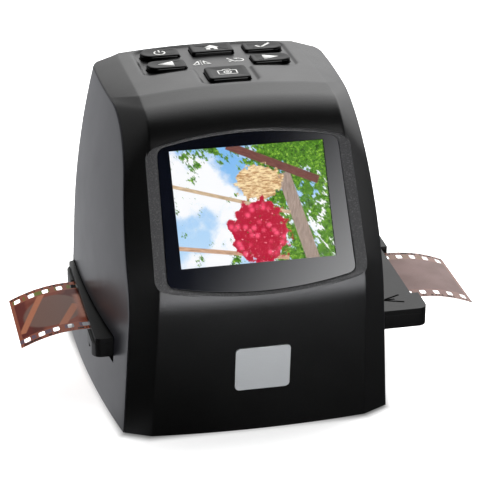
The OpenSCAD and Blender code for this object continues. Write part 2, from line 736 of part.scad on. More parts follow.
module lens_barrel() {
    color(gloss_black) translate([0, adapter_y, barrel_low]) difference() {
        union() {
            cylinder(r = barrel_r, h = sensor_z - 1.4 - barrel_low);
            cylinder(r = barrel_r + 1.5, h = 1.8);
        }
        translate([0, 0, -eps]) cylinder(r = barrel_r - 1.5, h = far);
    }
}
module lens_glass() {
    color([0.7, 0.85, 0.9], 0.5) for (z = [2.5, 7]) translate([0, adapter_y, barrel_low + z])
        cylinder(r = barrel_r - 1.5 - 0.02, h = 2);
}
sensor_board_t = 1.2;
module sensor_board() {
    color(board_green) translate([-17, adapter_y - 10, sensor_z]) cube([34, 20, sensor_board_t]);
}
module image_sensor() {
    color([0.15, 0.2, 0.3]) translate([-4, adapter_y - 4, sensor_z - 1.2]) cube([8, 8, 1.2]);
}

// Flat cables: from the main board up to the sensor board and to the display
ribbon_t = 0.3;
module sensor_ribbon() {
    top = sensor_z + sensor_board_t;
    back = main_board_y[0] + 1.5;
    front = adapter_y + 3;
    color([0.85, 0.8, 0.6]) translate([-main_board_half + 4, 0, 0]) {
        translate([0, back, socket_z]) cube([8, ribbon_t, top - socket_z]);
        translate([0, front, top]) cube([20, back + ribbon_t - front, ribbon_t]);
    }
}
module lcd_ribbon() {
    color([0.85, 0.8, 0.6]) on_slope() translate([-7, -lcd_size[1] / 2 - 3, frame_back - ribbon_t])
        cube([14, lcd_size[1] - 12, ribbon_t]);
}

// ---- the film adapter ----
exit_depth = 2.6;                        // notch at each end where the film comes out
exit_w = film_w + 2;
lid_short = 1;
adapter_front = adapter_y - adapter_w / 2;
knuckle_r = 2.1;
hinge_y = adapter_y + adapter_w / 2 - 2.6;
hinge_z = adapter_z + adapter_t - knuckle_r - 0.5;
knuckle_l = 12;
knuckle_places = [-adapter_l / 3, adapter_l / 3];
module adapter_outline() {
    difference() {
        translate([adapter_x, adapter_y]) rounded_plate([adapter_l, adapter_w], adapter_r);
        for (s = [-1, 1]) translate([adapter_x + s * adapter_l / 2 - exit_depth, adapter_y - exit_w / 2])
            square([2 * exit_depth, exit_w]);
    }
}
// The lid runs straight across at its left end, just short of the base's two corners
module lid_outline() {
    difference() {
        translate([adapter_x, adapter_y]) rounded_plate([adapter_l, adapter_w], adapter_r);
        translate([adapter_x + adapter_l / 2 - exit_depth, adapter_y - exit_w / 2]) square([2 * exit_depth, exit_w]);
        translate([adapter_x - adapter_l / 2 - eps, adapter_front - eps]) square([lid_short, adapter_w + 2 * eps]);
    }
}
module gate_window() {
    translate([adapter_x - gate_size[0] / 2, adapter_y - gate_size[1] / 2, 0])
        cube([gate_size[0], gate_size[1], far]);
}
module knuckles(r, grow) {
    for (x = knuckle_places) translate([adapter_x + x - knuckle_l / 2 - grow, hinge_y, hinge_z])
        rotate([0, 90, 0]) cylinder(r = r, h = knuckle_l + 2 * grow);
}
film_z = adapter_z + adapter_t - lid_t - 0.2;
snap_r = 1;          // pegs that the lid snaps onto
snap_places = [-20, 20];
module adapter_base() {
    color([0.09, 0.09, 0.1]) difference() {
        union() {
            translate([0, 0, adapter_z]) linear_extrude(adapter_t - lid_t) adapter_outline();
            for (x = snap_places) translate([adapter_x + x, adapter_front + 2.2, film_z]) cylinder(r = snap_r, h = 1);
        }
        gate_window();
        translate([-far, adapter_y - film_w / 2 - 0.15, film_z - film_t]) cube([2 * far, film_w + 0.3, 10]);
        knuckles(knuckle_r + 0.25, 0.25);
        hinge_bore();
        for (s = [-1, 1]) translate([adapter_x + s * adapter_l / 2, adapter_front + 6, adapter_z - eps])
            cylinder(r = 2.2, h = 1.6);
    }
}
pin_l = adapter_l - 18.2;
module on_hinge(length) {
    translate([adapter_x - length / 2, hinge_y, hinge_z]) rotate([0, 90, 0]) children();
}
module hinge_bore() {
    on_hinge(pin_l + 0.1) cylinder(r = pin_r + 0.05, h = pin_l + 0.1);
}
module hinge_pin() {
    color(metal) on_hinge(pin_l) cylinder(r = pin_r, h = pin_l);
}
module adapter_lid() {
    color([0.09, 0.09, 0.1]) difference() {
        union() {
            translate([0, 0, adapter_z + adapter_t - lid_t + 0.02]) linear_extrude(lid_t - 0.02) lid_outline();
            knuckles(knuckle_r, 0);
        }
        gate_window();
        hinge_bore();
        for (x = snap_places) translate([adapter_x + x, adapter_front + 2.2, 0])
            cylinder(r = snap_r + 0.06, h = film_z + 1.1);
    }
}

// ---- the film ----
film_l = frame_count * frame_pitch;
film_x = adapter_x - 0.8;
perf_pitch = frame_pitch / 8;
perf_size = [1.98, 2.8];
perf_inset = 2;
flat_half = adapter_l / 2 + 0.5;          // half of the stretch that lies flat
// Height of the strip's underside at a distance x from the adapter's middle
function film_low(x) = film_z - film_t - film_droop * pow(max(abs(x) - flat_half, 0) / (film_l / 2 - flat_half), 2);
film_steps = 48;
film_xs = [for (i = [0:film_steps]) film_x - adapter_x - film_l / 2 + film_l * i / film_steps];
module film_strip() {
    color([0.55, 0.28, 0.16]) difference() {
        translate([adapter_x, adapter_y + film_w / 2, 0]) rotate([90, 0, 0]) linear_extrude(film_w)
            polygon(concat([for (x = film_xs) [x, film_low(x)]],
                [for (i = [film_steps:-1:0]) [film_xs[i], film_low(film_xs[i]) + film_t - 0.02]]));
        for (i = [0:frame_count * 8 - 1], s = [-1, 1])
            translate([film_x - film_l / 2 + (i + 0.5) * perf_pitch - perf_size[0] / 2,
                adapter_y + s * (film_w / 2 - perf_inset - perf_size[1] / 2) - perf_size[1] / 2, 0])
                cube([perf_size[0], perf_size[1], far]);
    }
}

module case_screws() {
    color(metal) for (p = post_places) translate([p[0], p[1], body_bottom + screw_sunk]) screw(9);
}
module board_screws() {
    color(metal) {
        for (p = board_posts) translate([p[0], p[1], button_board_z - screw_head_t]) screw(7);
        for (p = board_feet) driven_down([p[0], p[1], socket_z], 5);
    }
}
// A screw whose head rests at a place, driven down from above
module driven_down(place, length) {
    translate([place[0], place[1], place[2] + screw_head_t]) mirror([0, 0, 1]) screw(length);
}
module short_screws() {
    color(metal) {
        for (p = bracket_feet) driven_down([p[0], p[1], bracket_base + bracket_flange], 4);
        for (p = frame_ears) on_slope() translate([p[0], p[1], frame_back - screw_head_t]) screw(4);
    }
}

front_cover();
left_side_panel();
right_side_panel();
rear_cover();
base_cover();
rubber_feet();
nameplate();
screen_lens();
lcd_panel();
lcd_frame();
power_button();
home_button();
confirm_button();
left_button();
right_button();
capture_button();
button_board();
button_switches();
main_board();
processor();
usb_port();
video_jack();
card_slot();
adapter_guide();
light_box();
diffuser();
led_board();
leds();
camera_bracket();
lens_barrel();
lens_glass();
sensor_board();
image_sensor();
lcd_ribbon();
sensor_ribbon();
adapter_base();
adapter_lid();
hinge_pin();
film_strip();
case_screws();
board_screws();
short_screws();
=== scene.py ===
"""Looks of the table-top film scanner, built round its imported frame.

The body's shells, the keys, the window, the film and the printed marks are modelled here. The other nodes
keep their own shape and get a finish. Sizes are in millimetres until a mesh is handed over, and the frame is
X to the right, Y to the back and Z up, with the origin on the floor.
"""

import json
import logging
import math
from dataclasses import dataclass, field
from enum import Enum
from functools import cache
from typing import Callable, Iterable, Optional, Sequence, Union

import bmesh
import bpy
from mathutils import Matrix, Vector


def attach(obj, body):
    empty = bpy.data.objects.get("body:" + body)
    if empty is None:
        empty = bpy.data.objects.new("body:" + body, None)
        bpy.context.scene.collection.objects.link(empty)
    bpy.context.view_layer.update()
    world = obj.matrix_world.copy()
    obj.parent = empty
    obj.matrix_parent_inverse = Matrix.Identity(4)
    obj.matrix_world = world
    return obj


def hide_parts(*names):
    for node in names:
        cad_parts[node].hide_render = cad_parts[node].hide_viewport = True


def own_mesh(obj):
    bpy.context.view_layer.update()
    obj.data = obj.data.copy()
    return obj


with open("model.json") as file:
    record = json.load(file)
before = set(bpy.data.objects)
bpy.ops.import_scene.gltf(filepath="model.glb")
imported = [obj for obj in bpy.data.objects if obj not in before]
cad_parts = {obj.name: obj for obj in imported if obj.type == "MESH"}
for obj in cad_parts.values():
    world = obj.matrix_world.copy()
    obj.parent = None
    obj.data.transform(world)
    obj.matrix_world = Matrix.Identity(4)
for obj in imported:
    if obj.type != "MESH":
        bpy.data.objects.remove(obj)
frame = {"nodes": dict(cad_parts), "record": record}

LOG = logging.getLogger("scanner")
MM = 0.001
TINY = 1e-4
CORNER_SHARE = 0.48  # the most that a rounded corner may take of the straight stretch beside it
RAGGED = 1.1  # how far a wobble moves the edge of a spot, as a share of its size

Socket = bpy.types.NodeSocket
Material = bpy.types.Material
Thing = bpy.types.Object
Mesh = bmesh.types.BMesh
Vert = bmesh.types.BMVert
Edge = bmesh.types.BMEdge
Face = bmesh.types.BMFace
Pair = tuple[float, float]
Triple = tuple[float, float, float]
Step = tuple[float, float, float, float]  # where it starts and ends, and what comes out before and after it
Blots = tuple[float, ...]  # of a noise: how many to the millimetre, then its detail and its roughness
Oval = tuple[Pair, Pair, float]  # its middle, its half width and half height, and how softly its edge fades
Value = Union[float, Socket]
Tone = Union[Sequence[float], Socket]
Placer = Callable[[int, int], Vector]

PURE_WHITE: Triple = (1.0, 1.0, 1.0)
TRAY_ARROW: Pair = (50.6, -17.0)
TRAY_TOP_Z = 28.2


# ---- finishes ----


class Wiring:
    """The node tree of a material or of the world while it is being put together."""

    def __init__(self, owner: Union[Material, bpy.types.World], shader: str = "Principled BSDF") -> None:
        """Starts on an owner's tree.

        Args:
            owner: the material or the world.
            shader: the name of its main node.
        """
        owner.use_nodes = True
        self.owner = owner
        self.nodes = owner.node_tree.nodes
        self.links = owner.node_tree.links
        self.shader = self.nodes[shader]

    def feed(self, target: Socket, value: object) -> None:
        """Links a socket to a target, or sets the target to a plain value.

        Args:
            target: the socket that gets the value.
            value: another socket, a number, a vector or a colour.
        """
        if isinstance(value, Socket):
            self.links.new(value, target)
        else:
            target.default_value = (*value, 1.0) if target.type == "RGBA" else value

    def add(self, kind: str, inputs: dict[Union[int, str], object], **settings: str) -> bpy.types.Node:
        """Adds a node.

        Args:
            kind: its type.
            inputs: what its sockets get.
            settings: its properties.

        Returns:
            The node.
        """
        node = self.nodes.new(f"ShaderNode{kind}")
        for key, value in settings.items():
            setattr(node, key, value)
        for socket, value in inputs.items():
            self.feed(node.inputs[socket], value)
        return node

    def shade(self, looks: dict[str, object]) -> Material:
        """Sets up the main node.

        Args:
            looks: what its sockets get.

        Returns:
            The tree's owner.
        """
        for socket, value in looks.items():
            self.feed(self.shader.inputs[socket], value)
        return self.owner

    def seen_from(self, vector: Socket, origin: Sequence[float], turn: Sequence[float],
                  scale: Sequence[float]) -> Socket:
        """Coordinates seen from another place.

        Args:
            vector: the coordinates.
            origin: the place.
            turn: its rotation about X, Y and Z, in radians.
            scale: the size of one unit.

        Returns:
            The new coordinates.
        """
        inputs = {"Vector": vector, "Location": origin, "Rotation": turn, "Scale": scale}
        return self.add("Mapping", inputs, vector_type="TEXTURE").outputs["Vector"]

    def place(self, origin: Triple = (0.0, 0.0, 0.0), turn: Triple = (0.0, 0.0, 0.0)) -> Socket:
        """Object coordinates in millimetres, seen from a place that may be turned (in radians)."""
        coords = self.add("TexCoord", {}).outputs["Object"]
        return self.seen_from(coords, Vector(origin) * MM, turn, (MM, MM, MM))

    def turned(self, vector: Socket, origin: Pair = (0.0, 0.0), angle: float = 0.0,
               scale: Sequence[float] = (1.0, 1.0, 1.0)) -> Socket:
        """Coordinates seen from another origin in their own plane, at an angle in degrees."""
        return self.seen_from(vector, (*origin, 0.0), (0.0, 0.0, math.radians(angle)), scale)

    def axes(self, vector: Socket) -> tuple[Socket, ...]:
        """The three parts of a vector."""
        return tuple(self.add("SeparateXYZ", {0: vector}).outputs)

    def maths(self, operation: str, first: Value, *others: Value) -> Socket:
        """Arithmetic on one value, or on several from left to right.

        Args:
            operation: the name of a Math node's operation.
            first: the first value.
            others: the other values.

        Returns:
            The answer.
        """
        answer = first
        for other in others or (0.0,):
            answer = self.add("Math", {0: answer, 1: other}, operation=operation).outputs[0]
        return answer

    def product(self, *values: Value) -> Socket:
        """All values multiplied."""
        return self.maths("MULTIPLY", *values)

    def total(self, *values: Value) -> Socket:
        """All values added up."""
        return self.maths("ADD", *values)

    def sway(self, base: Value, noise: Socket, amount: float) -> Socket:
        """A value that a noise moves up and down by an amount."""
        return self.total(base, self.product(self.maths("SUBTRACT", noise, 0.5), amount))

    def noise(self, vector: Socket, scale: float, detail: float = 3.0, rough: float = 0.55) -> Socket:
        """Cloudy noise of that many blots to the millimetre."""
        inputs = {"Vector": vector, "Scale": scale, "Detail": detail, "Roughness": rough}
        return self.add("TexNoise", inputs).outputs["Fac"]

    def cells(self, vector: Socket, scale: float) -> Socket:
        """The distance to the middle of cells, of that many to the millimetre."""
        return self.add("TexVoronoi", {"Vector": vector, "Scale": scale}).outputs["Distance"]

    def step(self, value: Value, low: float, high: float, start: float = 0.0, end: float = 1.0,
             ease: str = "SMOOTHSTEP") -> Socket:
        """A step of a value.

        Args:
            value: the value.
            low: where the step starts.
            high: where it ends.
            start: what comes out before it.
            end: what comes out after it.
            ease: how it goes over: SMOOTHSTEP or LINEAR.

        Returns:
            The stepped value.
        """
        inputs = {"Value": value, "From Min": low, "From Max": high, "To Min": start, "To Max": end}
        return self.add("MapRange", inputs, interpolation_type=ease).outputs["Result"]

    def fall(self, value: Value, low: float, high: float) -> Socket:
        """A soft step down from 1 to 0."""
        return self.step(value, low, high, 1.0, 0.0)

    def band(self, value: Value, rise: Pair, drop: Pair) -> Socket:
        """1 between a soft step up and a soft step down, 0 elsewhere."""
        return self.product(self.step(value, *rise), self.fall(value, *drop))

    def blend(self, factor: Value, first: Tone, second: Tone) -> Socket:
        """A mix of two colours, by a factor of 0 for the first and 1 for the second."""
        return self.add("Mix", {0: factor, 6: first, 7: second}, data_type="RGBA").outputs[2]

    def relief(self, height: Socket, depth: float) -> Socket:
        """The normal of a bump with a height from 0 to 1 and a real depth in millimetres."""
        return self.add("Bump", {"Strength": 1.0, "Distance": depth * MM, "Height": height}).outputs["Normal"]

    def bar(self, vector: Socket, start: Pair, end: Pair, width: float, soft: float = 0.15) -> Socket:
        """The mask of a straight bar in a picture.

        Args:
            vector: the picture's coordinates.
            start: the middle of one end.
            end: the middle of the other.
            width: how wide it is.
            soft: how far its edge fades on either side.

        Returns:
            The mask.
        """
        run = Vector(end) - Vector(start)
        along, across, _ = self.axes(self.turned(vector, start, math.degrees(math.atan2(run.y, run.x))))
        inside = self.fall(self.maths("ABSOLUTE", across), width / 2 - soft, width / 2 + soft)
        return self.product(inside, self.band(along, (-soft, soft), (run.length - soft, run.length + soft)))

    def spot(self, vector: Socket, centre: Pair, radii: Pair, soft: float,
             wobble: Optional[Socket] = None) -> Socket:
        """The mask of an ellipse in a picture.

        Args:
            vector: the picture's coordinates.
            centre: its middle.
            radii: its half width and half height.
            soft: how far its edge fades on either side, as a share of its size.
            wobble: a noise that makes its edge uneven.

        Returns:
            The mask.
        """
        local = self.turned(vector, centre, 0.0, (*radii, 1.0))
        flat = self.add("VectorMath", {0: local, 1: (1.0, 1.0, 0.0)}, operation="MULTIPLY").outputs[0]
        reach = self.add("VectorMath", {0: flat}, operation="LENGTH").outputs["Value"]
        if wobble is not None:
            reach = self.sway(reach, wobble, RAGGED)
        return self.fall(reach, 1 - soft, 1 + soft)


def scaled(colour: Triple, factor: float) -> tuple[float, ...]:
    """A colour made darker or lighter."""
    return tuple(min(c * factor, 1.0) for c in colour)


@dataclass(frozen=True)
class Finish:
    """What all finishes share: a name, and a way to make the material."""

    name: str

    def start(self) -> Wiring:
        """Starts the material's tree."""
        return Wiring(bpy.data.materials.new(self.name))

    def build(self) -> Material:
        """Makes the material. Each kind of finish does this in its own way."""
        raise NotImplementedError


@cache
def paint(finish: Finish) -> Material:
    """The material of a finish, made once."""
    return finish.build()


@dataclass(frozen=True)
class Moulded(Finish):
    """A moulded plastic, rubber or plated metal with a fine grain."""

    colour: Triple
    roughness: float = 0.4
    specular: float = 0.5
    grain: float = 4.0
    grain_detail: Pair = (2.0, 0.7)
    depth: float = 0.01
    mottle: float = 0.2
    metallic: float = 0.0
    coat: float = 0.0
    fleck: float = 0.0
    fleck_edge: Pair = (0.52, 0.66)
    broad_grain: float = 0.09
    sheen_sway: float = 0.08
    coat_roughness: float = 0.08

    def build(self) -> Material:
        """Makes the material.

        Returns:
            The material.
        """
        work = self.start()
        place = work.place()
        broad = work.noise(place, self.broad_grain)
        colour = work.blend(broad, scaled(self.colour, 1 - self.mottle), scaled(self.colour, 1 + self.mottle))
        fine = work.noise(place, self.grain, *self.grain_detail)
        if self.fleck:
            bright = tuple(min(c + self.fleck, 1.0) for c in self.colour)
            colour = work.blend(work.step(fine, *self.fleck_edge), colour, bright)
        return work.shade({
            "Base Color": colour, "Roughness": work.sway(self.roughness, broad, self.sheen_sway),
            "Normal": work.relief(fine, self.depth), "Specular IOR Level": self.specular,
            "Metallic": self.metallic, "Coat Weight": self.coat, "Coat Roughness": self.coat_roughness,
        })


@dataclass(frozen=True)
class Brushed(Finish):
    """A satin metal face, brushed along X."""

    colour: Triple
    roughness: float = 0.32
    spread: float = 0.14
    stretch: Triple = (14.0, 1.0, 1.0)
    line_blots: Blots = (6.0, 4.0, 0.7)
    line_edge: Pair = (0.3, 0.7)
    line_dark: float = 0.88
    depth: float = 0.004
    metallic: float = 0.15

    def build(self) -> Material:
        """Makes the material.

        Returns:
            The material.
        """
        work = self.start()
        lines = work.noise(work.turned(work.place(), scale=self.stretch), *self.line_blots)
        return work.shade({
            "Base Color": work.blend(lines, scaled(self.colour, self.line_dark), self.colour),
            "Roughness": work.step(lines, *self.line_edge, self.roughness, self.roughness + self.spread),
            "Normal": work.relief(lines, self.depth), "Metallic": self.metallic,
        })


@dataclass(frozen=True)
class CircuitBoard(Finish):
    """Solder mask over copper tracks."""

    mask: Triple = (0.01, 0.12, 0.05)
    copper: Triple = (0.6, 0.55, 0.35)
    track_gain: float = 1.8
    track_cells: float = 0.35
    track_edge: Pair = (0.30, 0.34)
    pad_cells: float = 0.22
    pad_edge: Pair = (0.10, 0.14)
    roughness: float = 0.35
    depth: float = 0.03

    def build(self) -> Material:
        """Makes the material.

        Returns:
            The material.
        """
        work = self.start()
        place = work.place()
        tracks = work.step(work.cells(place, self.track_cells), *self.track_edge)
        pads = work.fall(work.cells(place, self.pad_cells), *self.pad_edge)
        green = work.blend(tracks, self.mask, scaled(self.mask, self.track_gain))
        colour = work.blend(pads, green, self.copper)
        return work.shade({"Base Color": colour, "Normal": work.relief(tracks, self.depth),
                           "Roughness": self.roughness})


@dataclass(frozen=True)
class ClearPane(Finish):
    """The clear middle of the window, or a camera lens."""

    tint: Triple = PURE_WHITE
    ior: float = 1.12
    haze_blots: Blots = (0.4, 2.0)
    haze: Step = (0.2, 0.8, 0.0, 0.02)

    def build(self) -> Material:
        """Makes the material.

        Returns:
            The material.
        """
        work = self.start()
        haze = work.step(work.noise(work.place(), *self.haze_blots), *self.haze)
        return work.shade({"Roughness": haze, "Base Color": self.tint, "Transmission Weight": 1.0,
                           "IOR": self.ior})


@dataclass(frozen=True)
class GardenPicture(Finish):
    """The lit picture: a hanging basket of red flowers in front of leaves, with sky at its left."""

    origin: Triple
    turn: float
    sky: tuple[Triple, Triple] = ((0.50, 0.72, 0.95), (0.22, 0.50, 0.88))
    sky_rise: Pair = (-18.0, 18.0)
    cloud: Triple = (0.97, 0.98, 1.0)
    cloud_blots: Blots = (0.055, 5.0, 0.5)
    cloud_edge: Pair = (0.44, 0.56)
    leaf_lean: float = 35.0
    leaf_shape: Triple = (1.0, 2.4, 1.0)
    leaf_blots: Blots = (0.85, 4.0, 0.75)
    leaf_edge: Pair = (0.66, 0.70)
    right_leaves: Step = (-2.0, 11.0, 0.0, 0.26)
    top_leaves: Step = (6.0, 17.0, 0.0, 0.17)
    clump_blots: float = 0.16
    clump_sway: float = 0.9
    greens: tuple[Triple, Triple, Triple] = ((0.012, 0.045, 0.008), (0.09, 0.26, 0.02), (0.42, 0.68, 0.08))
    green_blots: Blots = (1.3, 5.0, 0.8)
    green_edges: tuple[Pair, Pair] = ((0.36, 0.52), (0.53, 0.66))
    wood_shape: Triple = (6.0, 1.0, 1.0)
    wood_blots: float = 2.2
    wood_tones: Pair = (0.35, 1.9)
    straw: tuple[Triple, Triple] = ((0.52, 0.27, 0.11), (0.98, 0.78, 0.46))
    weave_shape: Triple = (2.6, 0.8, 1.0)
    weave_blots: float = 1.6
    weave_edge: Pair = (0.35, 0.65)
    ragged_blots: float = 0.45
    reds: tuple[Triple, Triple, Triple] = ((0.95, 0.10, 0.20), (0.50, 0.008, 0.04), (1.0, 0.55, 0.62))
    petal_cells: float = 0.42
    petal_edge: Pair = (0.05, 0.55)
    pink_blots: float = 1.1
    pink_edge: Pair = (0.62, 0.72)
    stem: Triple = (0.05, 0.16, 0.02)
    stem_edge: Pair = (0.30, 0.36)
    basket: Oval = ((3.0, 6.5), (7.4, 5.6), 0.05)
    bloom: Oval = ((1.5, -8.5), (9.0, 10.0), 0.06)
    timbers: tuple[tuple[Pair, Pair, float, Triple, float], ...] = (
        ((11.0, 9.0), (18.0, -20.0), 4.2, (0.34, 0.26, 0.22), 80),
        ((-6.0, 19.0), (22.0, 6.0), 2.6, (0.16, 0.06, 0.05), -25),
        ((-26.0, 8.0), (12.0, -3.5), 1.1, (0.62, 0.40, 0.26), -17),
        ((-26.0, -11.5), (10.0, -17.5), 1.3, (0.55, 0.33, 0.22), -10),
    )

    def build(self) -> Material:
        """Makes the material.

        Returns:
            The material.
        """
        work = self.start()
        flat = work.place(self.origin, (self.turn, 0.0, 0.0))
        colour: Tone = self.cloud
        for layer in (self._sky, self._leaves, self._wood, self._basket):
            colour = layer(work, flat, colour)
        return work.shade({"Base Color": (0.01, 0.01, 0.01), "Roughness": 0.3, "Emission Color": colour,
                           "Emission Strength": 1.0})

    def _sky(self, work: Wiring, flat: Socket, under: Tone) -> Socket:
        """Blue sky with big white clouds.

        Args:
            work: the material's tree.
            flat: the picture's coordinates.
            under: the colour of the clouds.

        Returns:
            The colour.
        """
        up = work.axes(flat)[1]
        blue = work.blend(work.step(up, *self.sky_rise), *self.sky)
        return work.blend(work.step(work.noise(flat, *self.cloud_blots), *self.cloud_edge), blue, under)

    def _leaves(self, work: Wiring, flat: Socket, under: Tone) -> Socket:
        """Leaves along the top and down the right side, with bright gaps between them.

        Args:
            work: the material's tree.
            flat: the picture's coordinates.
            under: what shows in the gaps.

        Returns:
            The colour.
        """
        across, up, _ = work.axes(flat)
        leaf = work.noise(work.turned(flat, angle=self.leaf_lean, scale=self.leaf_shape), *self.leaf_blots)
        cover = work.total(work.step(across, *self.right_leaves), work.step(up, *self.top_leaves))
        clumps = work.sway(cover, work.noise(flat, self.clump_blots), self.clump_sway)
        shown = work.step(work.total(leaf, clumps), *self.leaf_edge)
        tone = work.noise(flat, *self.green_blots)
        lit, bright = (work.step(tone, *edge) for edge in self.green_edges)
        green = work.blend(bright, work.blend(lit, *self.greens[:2]), self.greens[2])
        return work.blend(shown, under, green)

    def _wood(self, work: Wiring, flat: Socket, under: Tone) -> Socket:
        """A weathered post at the right, a beam at the top and two thin rails at the left.

        Args:
            work: the material's tree.
            flat: the picture's coordinates.
            under: what lies behind the timber.

        Returns:
            The colour.
        """
        colour = under
        for start, end, width, tint, grain_angle in self.timbers:
            grain = work.noise(work.turned(flat, start, grain_angle, self.wood_shape), self.wood_blots)
            wood = work.blend(grain, *(scaled(tint, tone) for tone in self.wood_tones))
            colour = work.blend(work.bar(flat, start, end, width), colour, wood)
        return colour

    def _basket(self, work: Wiring, flat: Socket, under: Tone) -> Socket:
        """A straw basket with red flowers that hang down below it.

        Args:
            work: the material's tree.
            flat: the picture's coordinates.
            under: what lies behind the basket.

        Returns:
            The colour.
        """
        weave = work.noise(work.turned(flat, scale=self.weave_shape), self.weave_blots)
        straw = work.blend(work.step(weave, *self.weave_edge), *self.straw)
        wobble = work.noise(flat, self.ragged_blots)
        colour = work.blend(work.spot(flat, *self.basket, wobble), under, straw)
        tone = work.noise(flat, self.pink_blots)
        red = work.blend(work.step(work.cells(flat, self.petal_cells), *self.petal_edge), *self.reds[:2])
        red = work.blend(work.step(tone, *self.pink_edge), red, self.reds[2])
        flowers = work.blend(work.step(tone, *self.stem_edge), self.stem, red)
        return work.blend(work.spot(flat, *self.bloom, wobble), colour, flowers)


@dataclass(frozen=True)
class NegativeFilm(Finish):
    """Colour negative film: an orange mask, dark frames, and clear perforated edges."""

    start_x: float
    middle_y: float
    pitch: float = 38.0
    frame_half: Pair = (17.9, 12.0)
    soft: float = 0.2
    fade_right: Pair = (60.0, 100.0)
    warm: tuple[Triple, Triple] = ((0.075, 0.008, 0.003), (0.20, 0.040, 0.018))
    dull: tuple[Triple, Triple] = ((0.17, 0.115, 0.105), (0.22, 0.15, 0.14))
    clear: tuple[Triple, Triple] = ((0.26, 0.07, 0.035), (0.27, 0.17, 0.145))
    shape_blots: Blots = (0.10, 2.0, 0.4)
    warm_edge: Pair = (0.42, 0.58)
    dull_edge: Pair = (0.3, 0.7)
    first_tint: Triple = (0.095, 0.008, 0.004)
    first_end: Pair = (4.0, 5.4)
    blot: Oval = ((12.5, -0.6), (9.6, 10.6), 0.06)
    blot_tint: Triple = (0.15, 0.085, 0.066)
    streaks: tuple[tuple[Pair, Pair, float, float, Triple], ...] = (
        ((1.5, -9.0), (11.0, 14.0), 2.3, 0.3, (0.42, 0.15, 0.075)),
        ((13.5, -14.0), (20.5, 1.0), 2.6, 0.3, (0.38, 0.14, 0.075)),
        ((22.5, -9.0), (22.5, 8.0), 4.0, 1.2, (0.42, 0.20, 0.15)),
    )
    mark_inks: tuple[Triple, Triple] = ((0.10, 0.08, 0.12), (0.12, 0.17, 0.01))
    mark_shape: Triple = (1.0, 40.0, 1.0)
    mark_blots: Blots = (0.42, 1.0)
    mark_edge: Pair = (0.46, 0.49)
    mark_row: tuple[Pair, Pair] = ((12.6, 12.9), (15.2, 15.5))
    mark_fade: Step = (40.0, 60.0, 0.9, 0.15)
    print_ink: Triple = (0.010, 0.003, 0.003)
    print_shape: Triple = (1.0, 30.0, 1.0)
    print_blots: Blots = (1.1, 2.0)
    print_edge: Pair = (0.50, 0.54)
    print_row: tuple[Pair, Pair] = ((15.9, 16.1), (17.0, 17.2))
    mottle_blots: Blots = (3.0, 3.0, 0.7)
    dust: Triple = (0.12, 0.04, 0.03)
    dusty: Step = (0.3, 0.7, 0.0, 0.25)
    roughness: Step = (0.3, 0.7, 0.16, 0.26)
    alpha: float = 0.95
    frame_alpha: float = 0.03

    def build(self) -> Material:
        """Makes the material.

        Returns:
            The material.
        """
        work = self.start()
        place = work.place()
        local = work.turned(place, (self.start_x, self.middle_y))
        along, depth, _ = work.axes(local)
        phase = work.maths("SUBTRACT", work.maths("MODULO", along, self.pitch), self.pitch / 2)
        inside = [work.fall(work.maths("ABSOLUTE", at), half - self.soft, half + self.soft)
                  for at, half in zip((phase, depth), self.frame_half)]
        in_frame = work.product(*inside)
        rebate, image = self._rebate(work, place, along, depth), self._image(work, place, local)
        colour = work.blend(in_frame, rebate, image)
        mottle = work.noise(place, *self.mottle_blots)
        return work.shade({
            "Base Color": work.blend(work.step(mottle, *self.dusty), colour, self.dust),
            "Alpha": work.total(work.product(in_frame, self.frame_alpha), self.alpha),
            "Roughness": work.step(mottle, *self.roughness),
            "Transmission Weight": 0.0, "Specular IOR Level": 0.06,
        })

    def _image(self, work: Wiring, place: Socket, local: Socket) -> Socket:
        """The dark frames, with bright streaks across the first of them.

        Args:
            work: the material's tree.
            place: the object's coordinates.
            local: coordinates from the middle of the strip's left end.

        Returns:
            The colour.
        """
        along = work.axes(local)[0]
        shapes = work.noise(place, *self.shape_blots)
        warm = work.blend(work.step(shapes, *self.warm_edge), *self.warm)
        dull = work.blend(work.step(shapes, *self.dull_edge), *self.dull)
        image = work.blend(work.step(along, *self.fade_right), warm, dull)
        image = work.blend(work.fall(along, *self.first_end), image, self.first_tint)
        image = work.blend(work.spot(local, *self.blot), image, self.blot_tint)
        for start, end, width, soft, tint in self.streaks:
            image = work.blend(work.bar(local, start, end, width, soft), image, tint)
        return image

    def _rebate(self, work: Wiring, place: Socket, along: Socket, depth: Socket) -> Socket:
        """The clear edges, with frame marks and a line of edge print.

        Args:
            work: the material's tree.
            place: the object's coordinates.
            along: how far a place is from the strip's left end.
            depth: how far it is behind the strip's middle.

        Returns:
            The colour.
        """
        side = work.maths("ABSOLUTE", depth)
        rebate = work.blend(work.step(along, *self.fade_right), *self.clear)
        marks = work.noise(work.turned(place, scale=self.mark_shape), *self.mark_blots)
        marks = work.product(work.step(marks, *self.mark_edge), work.band(side, *self.mark_row),
                             work.step(along, *self.mark_fade))
        ink = work.blend(work.step(depth, -self.middle_y, 1.0 - self.middle_y), *self.mark_inks)
        edge_print = work.noise(work.turned(place, scale=self.print_shape), *self.print_blots)
        edge_print = work.product(work.step(edge_print, *self.print_edge), work.band(side, *self.print_row))
        return work.blend(edge_print, work.blend(marks, rebate, ink), self.print_ink)


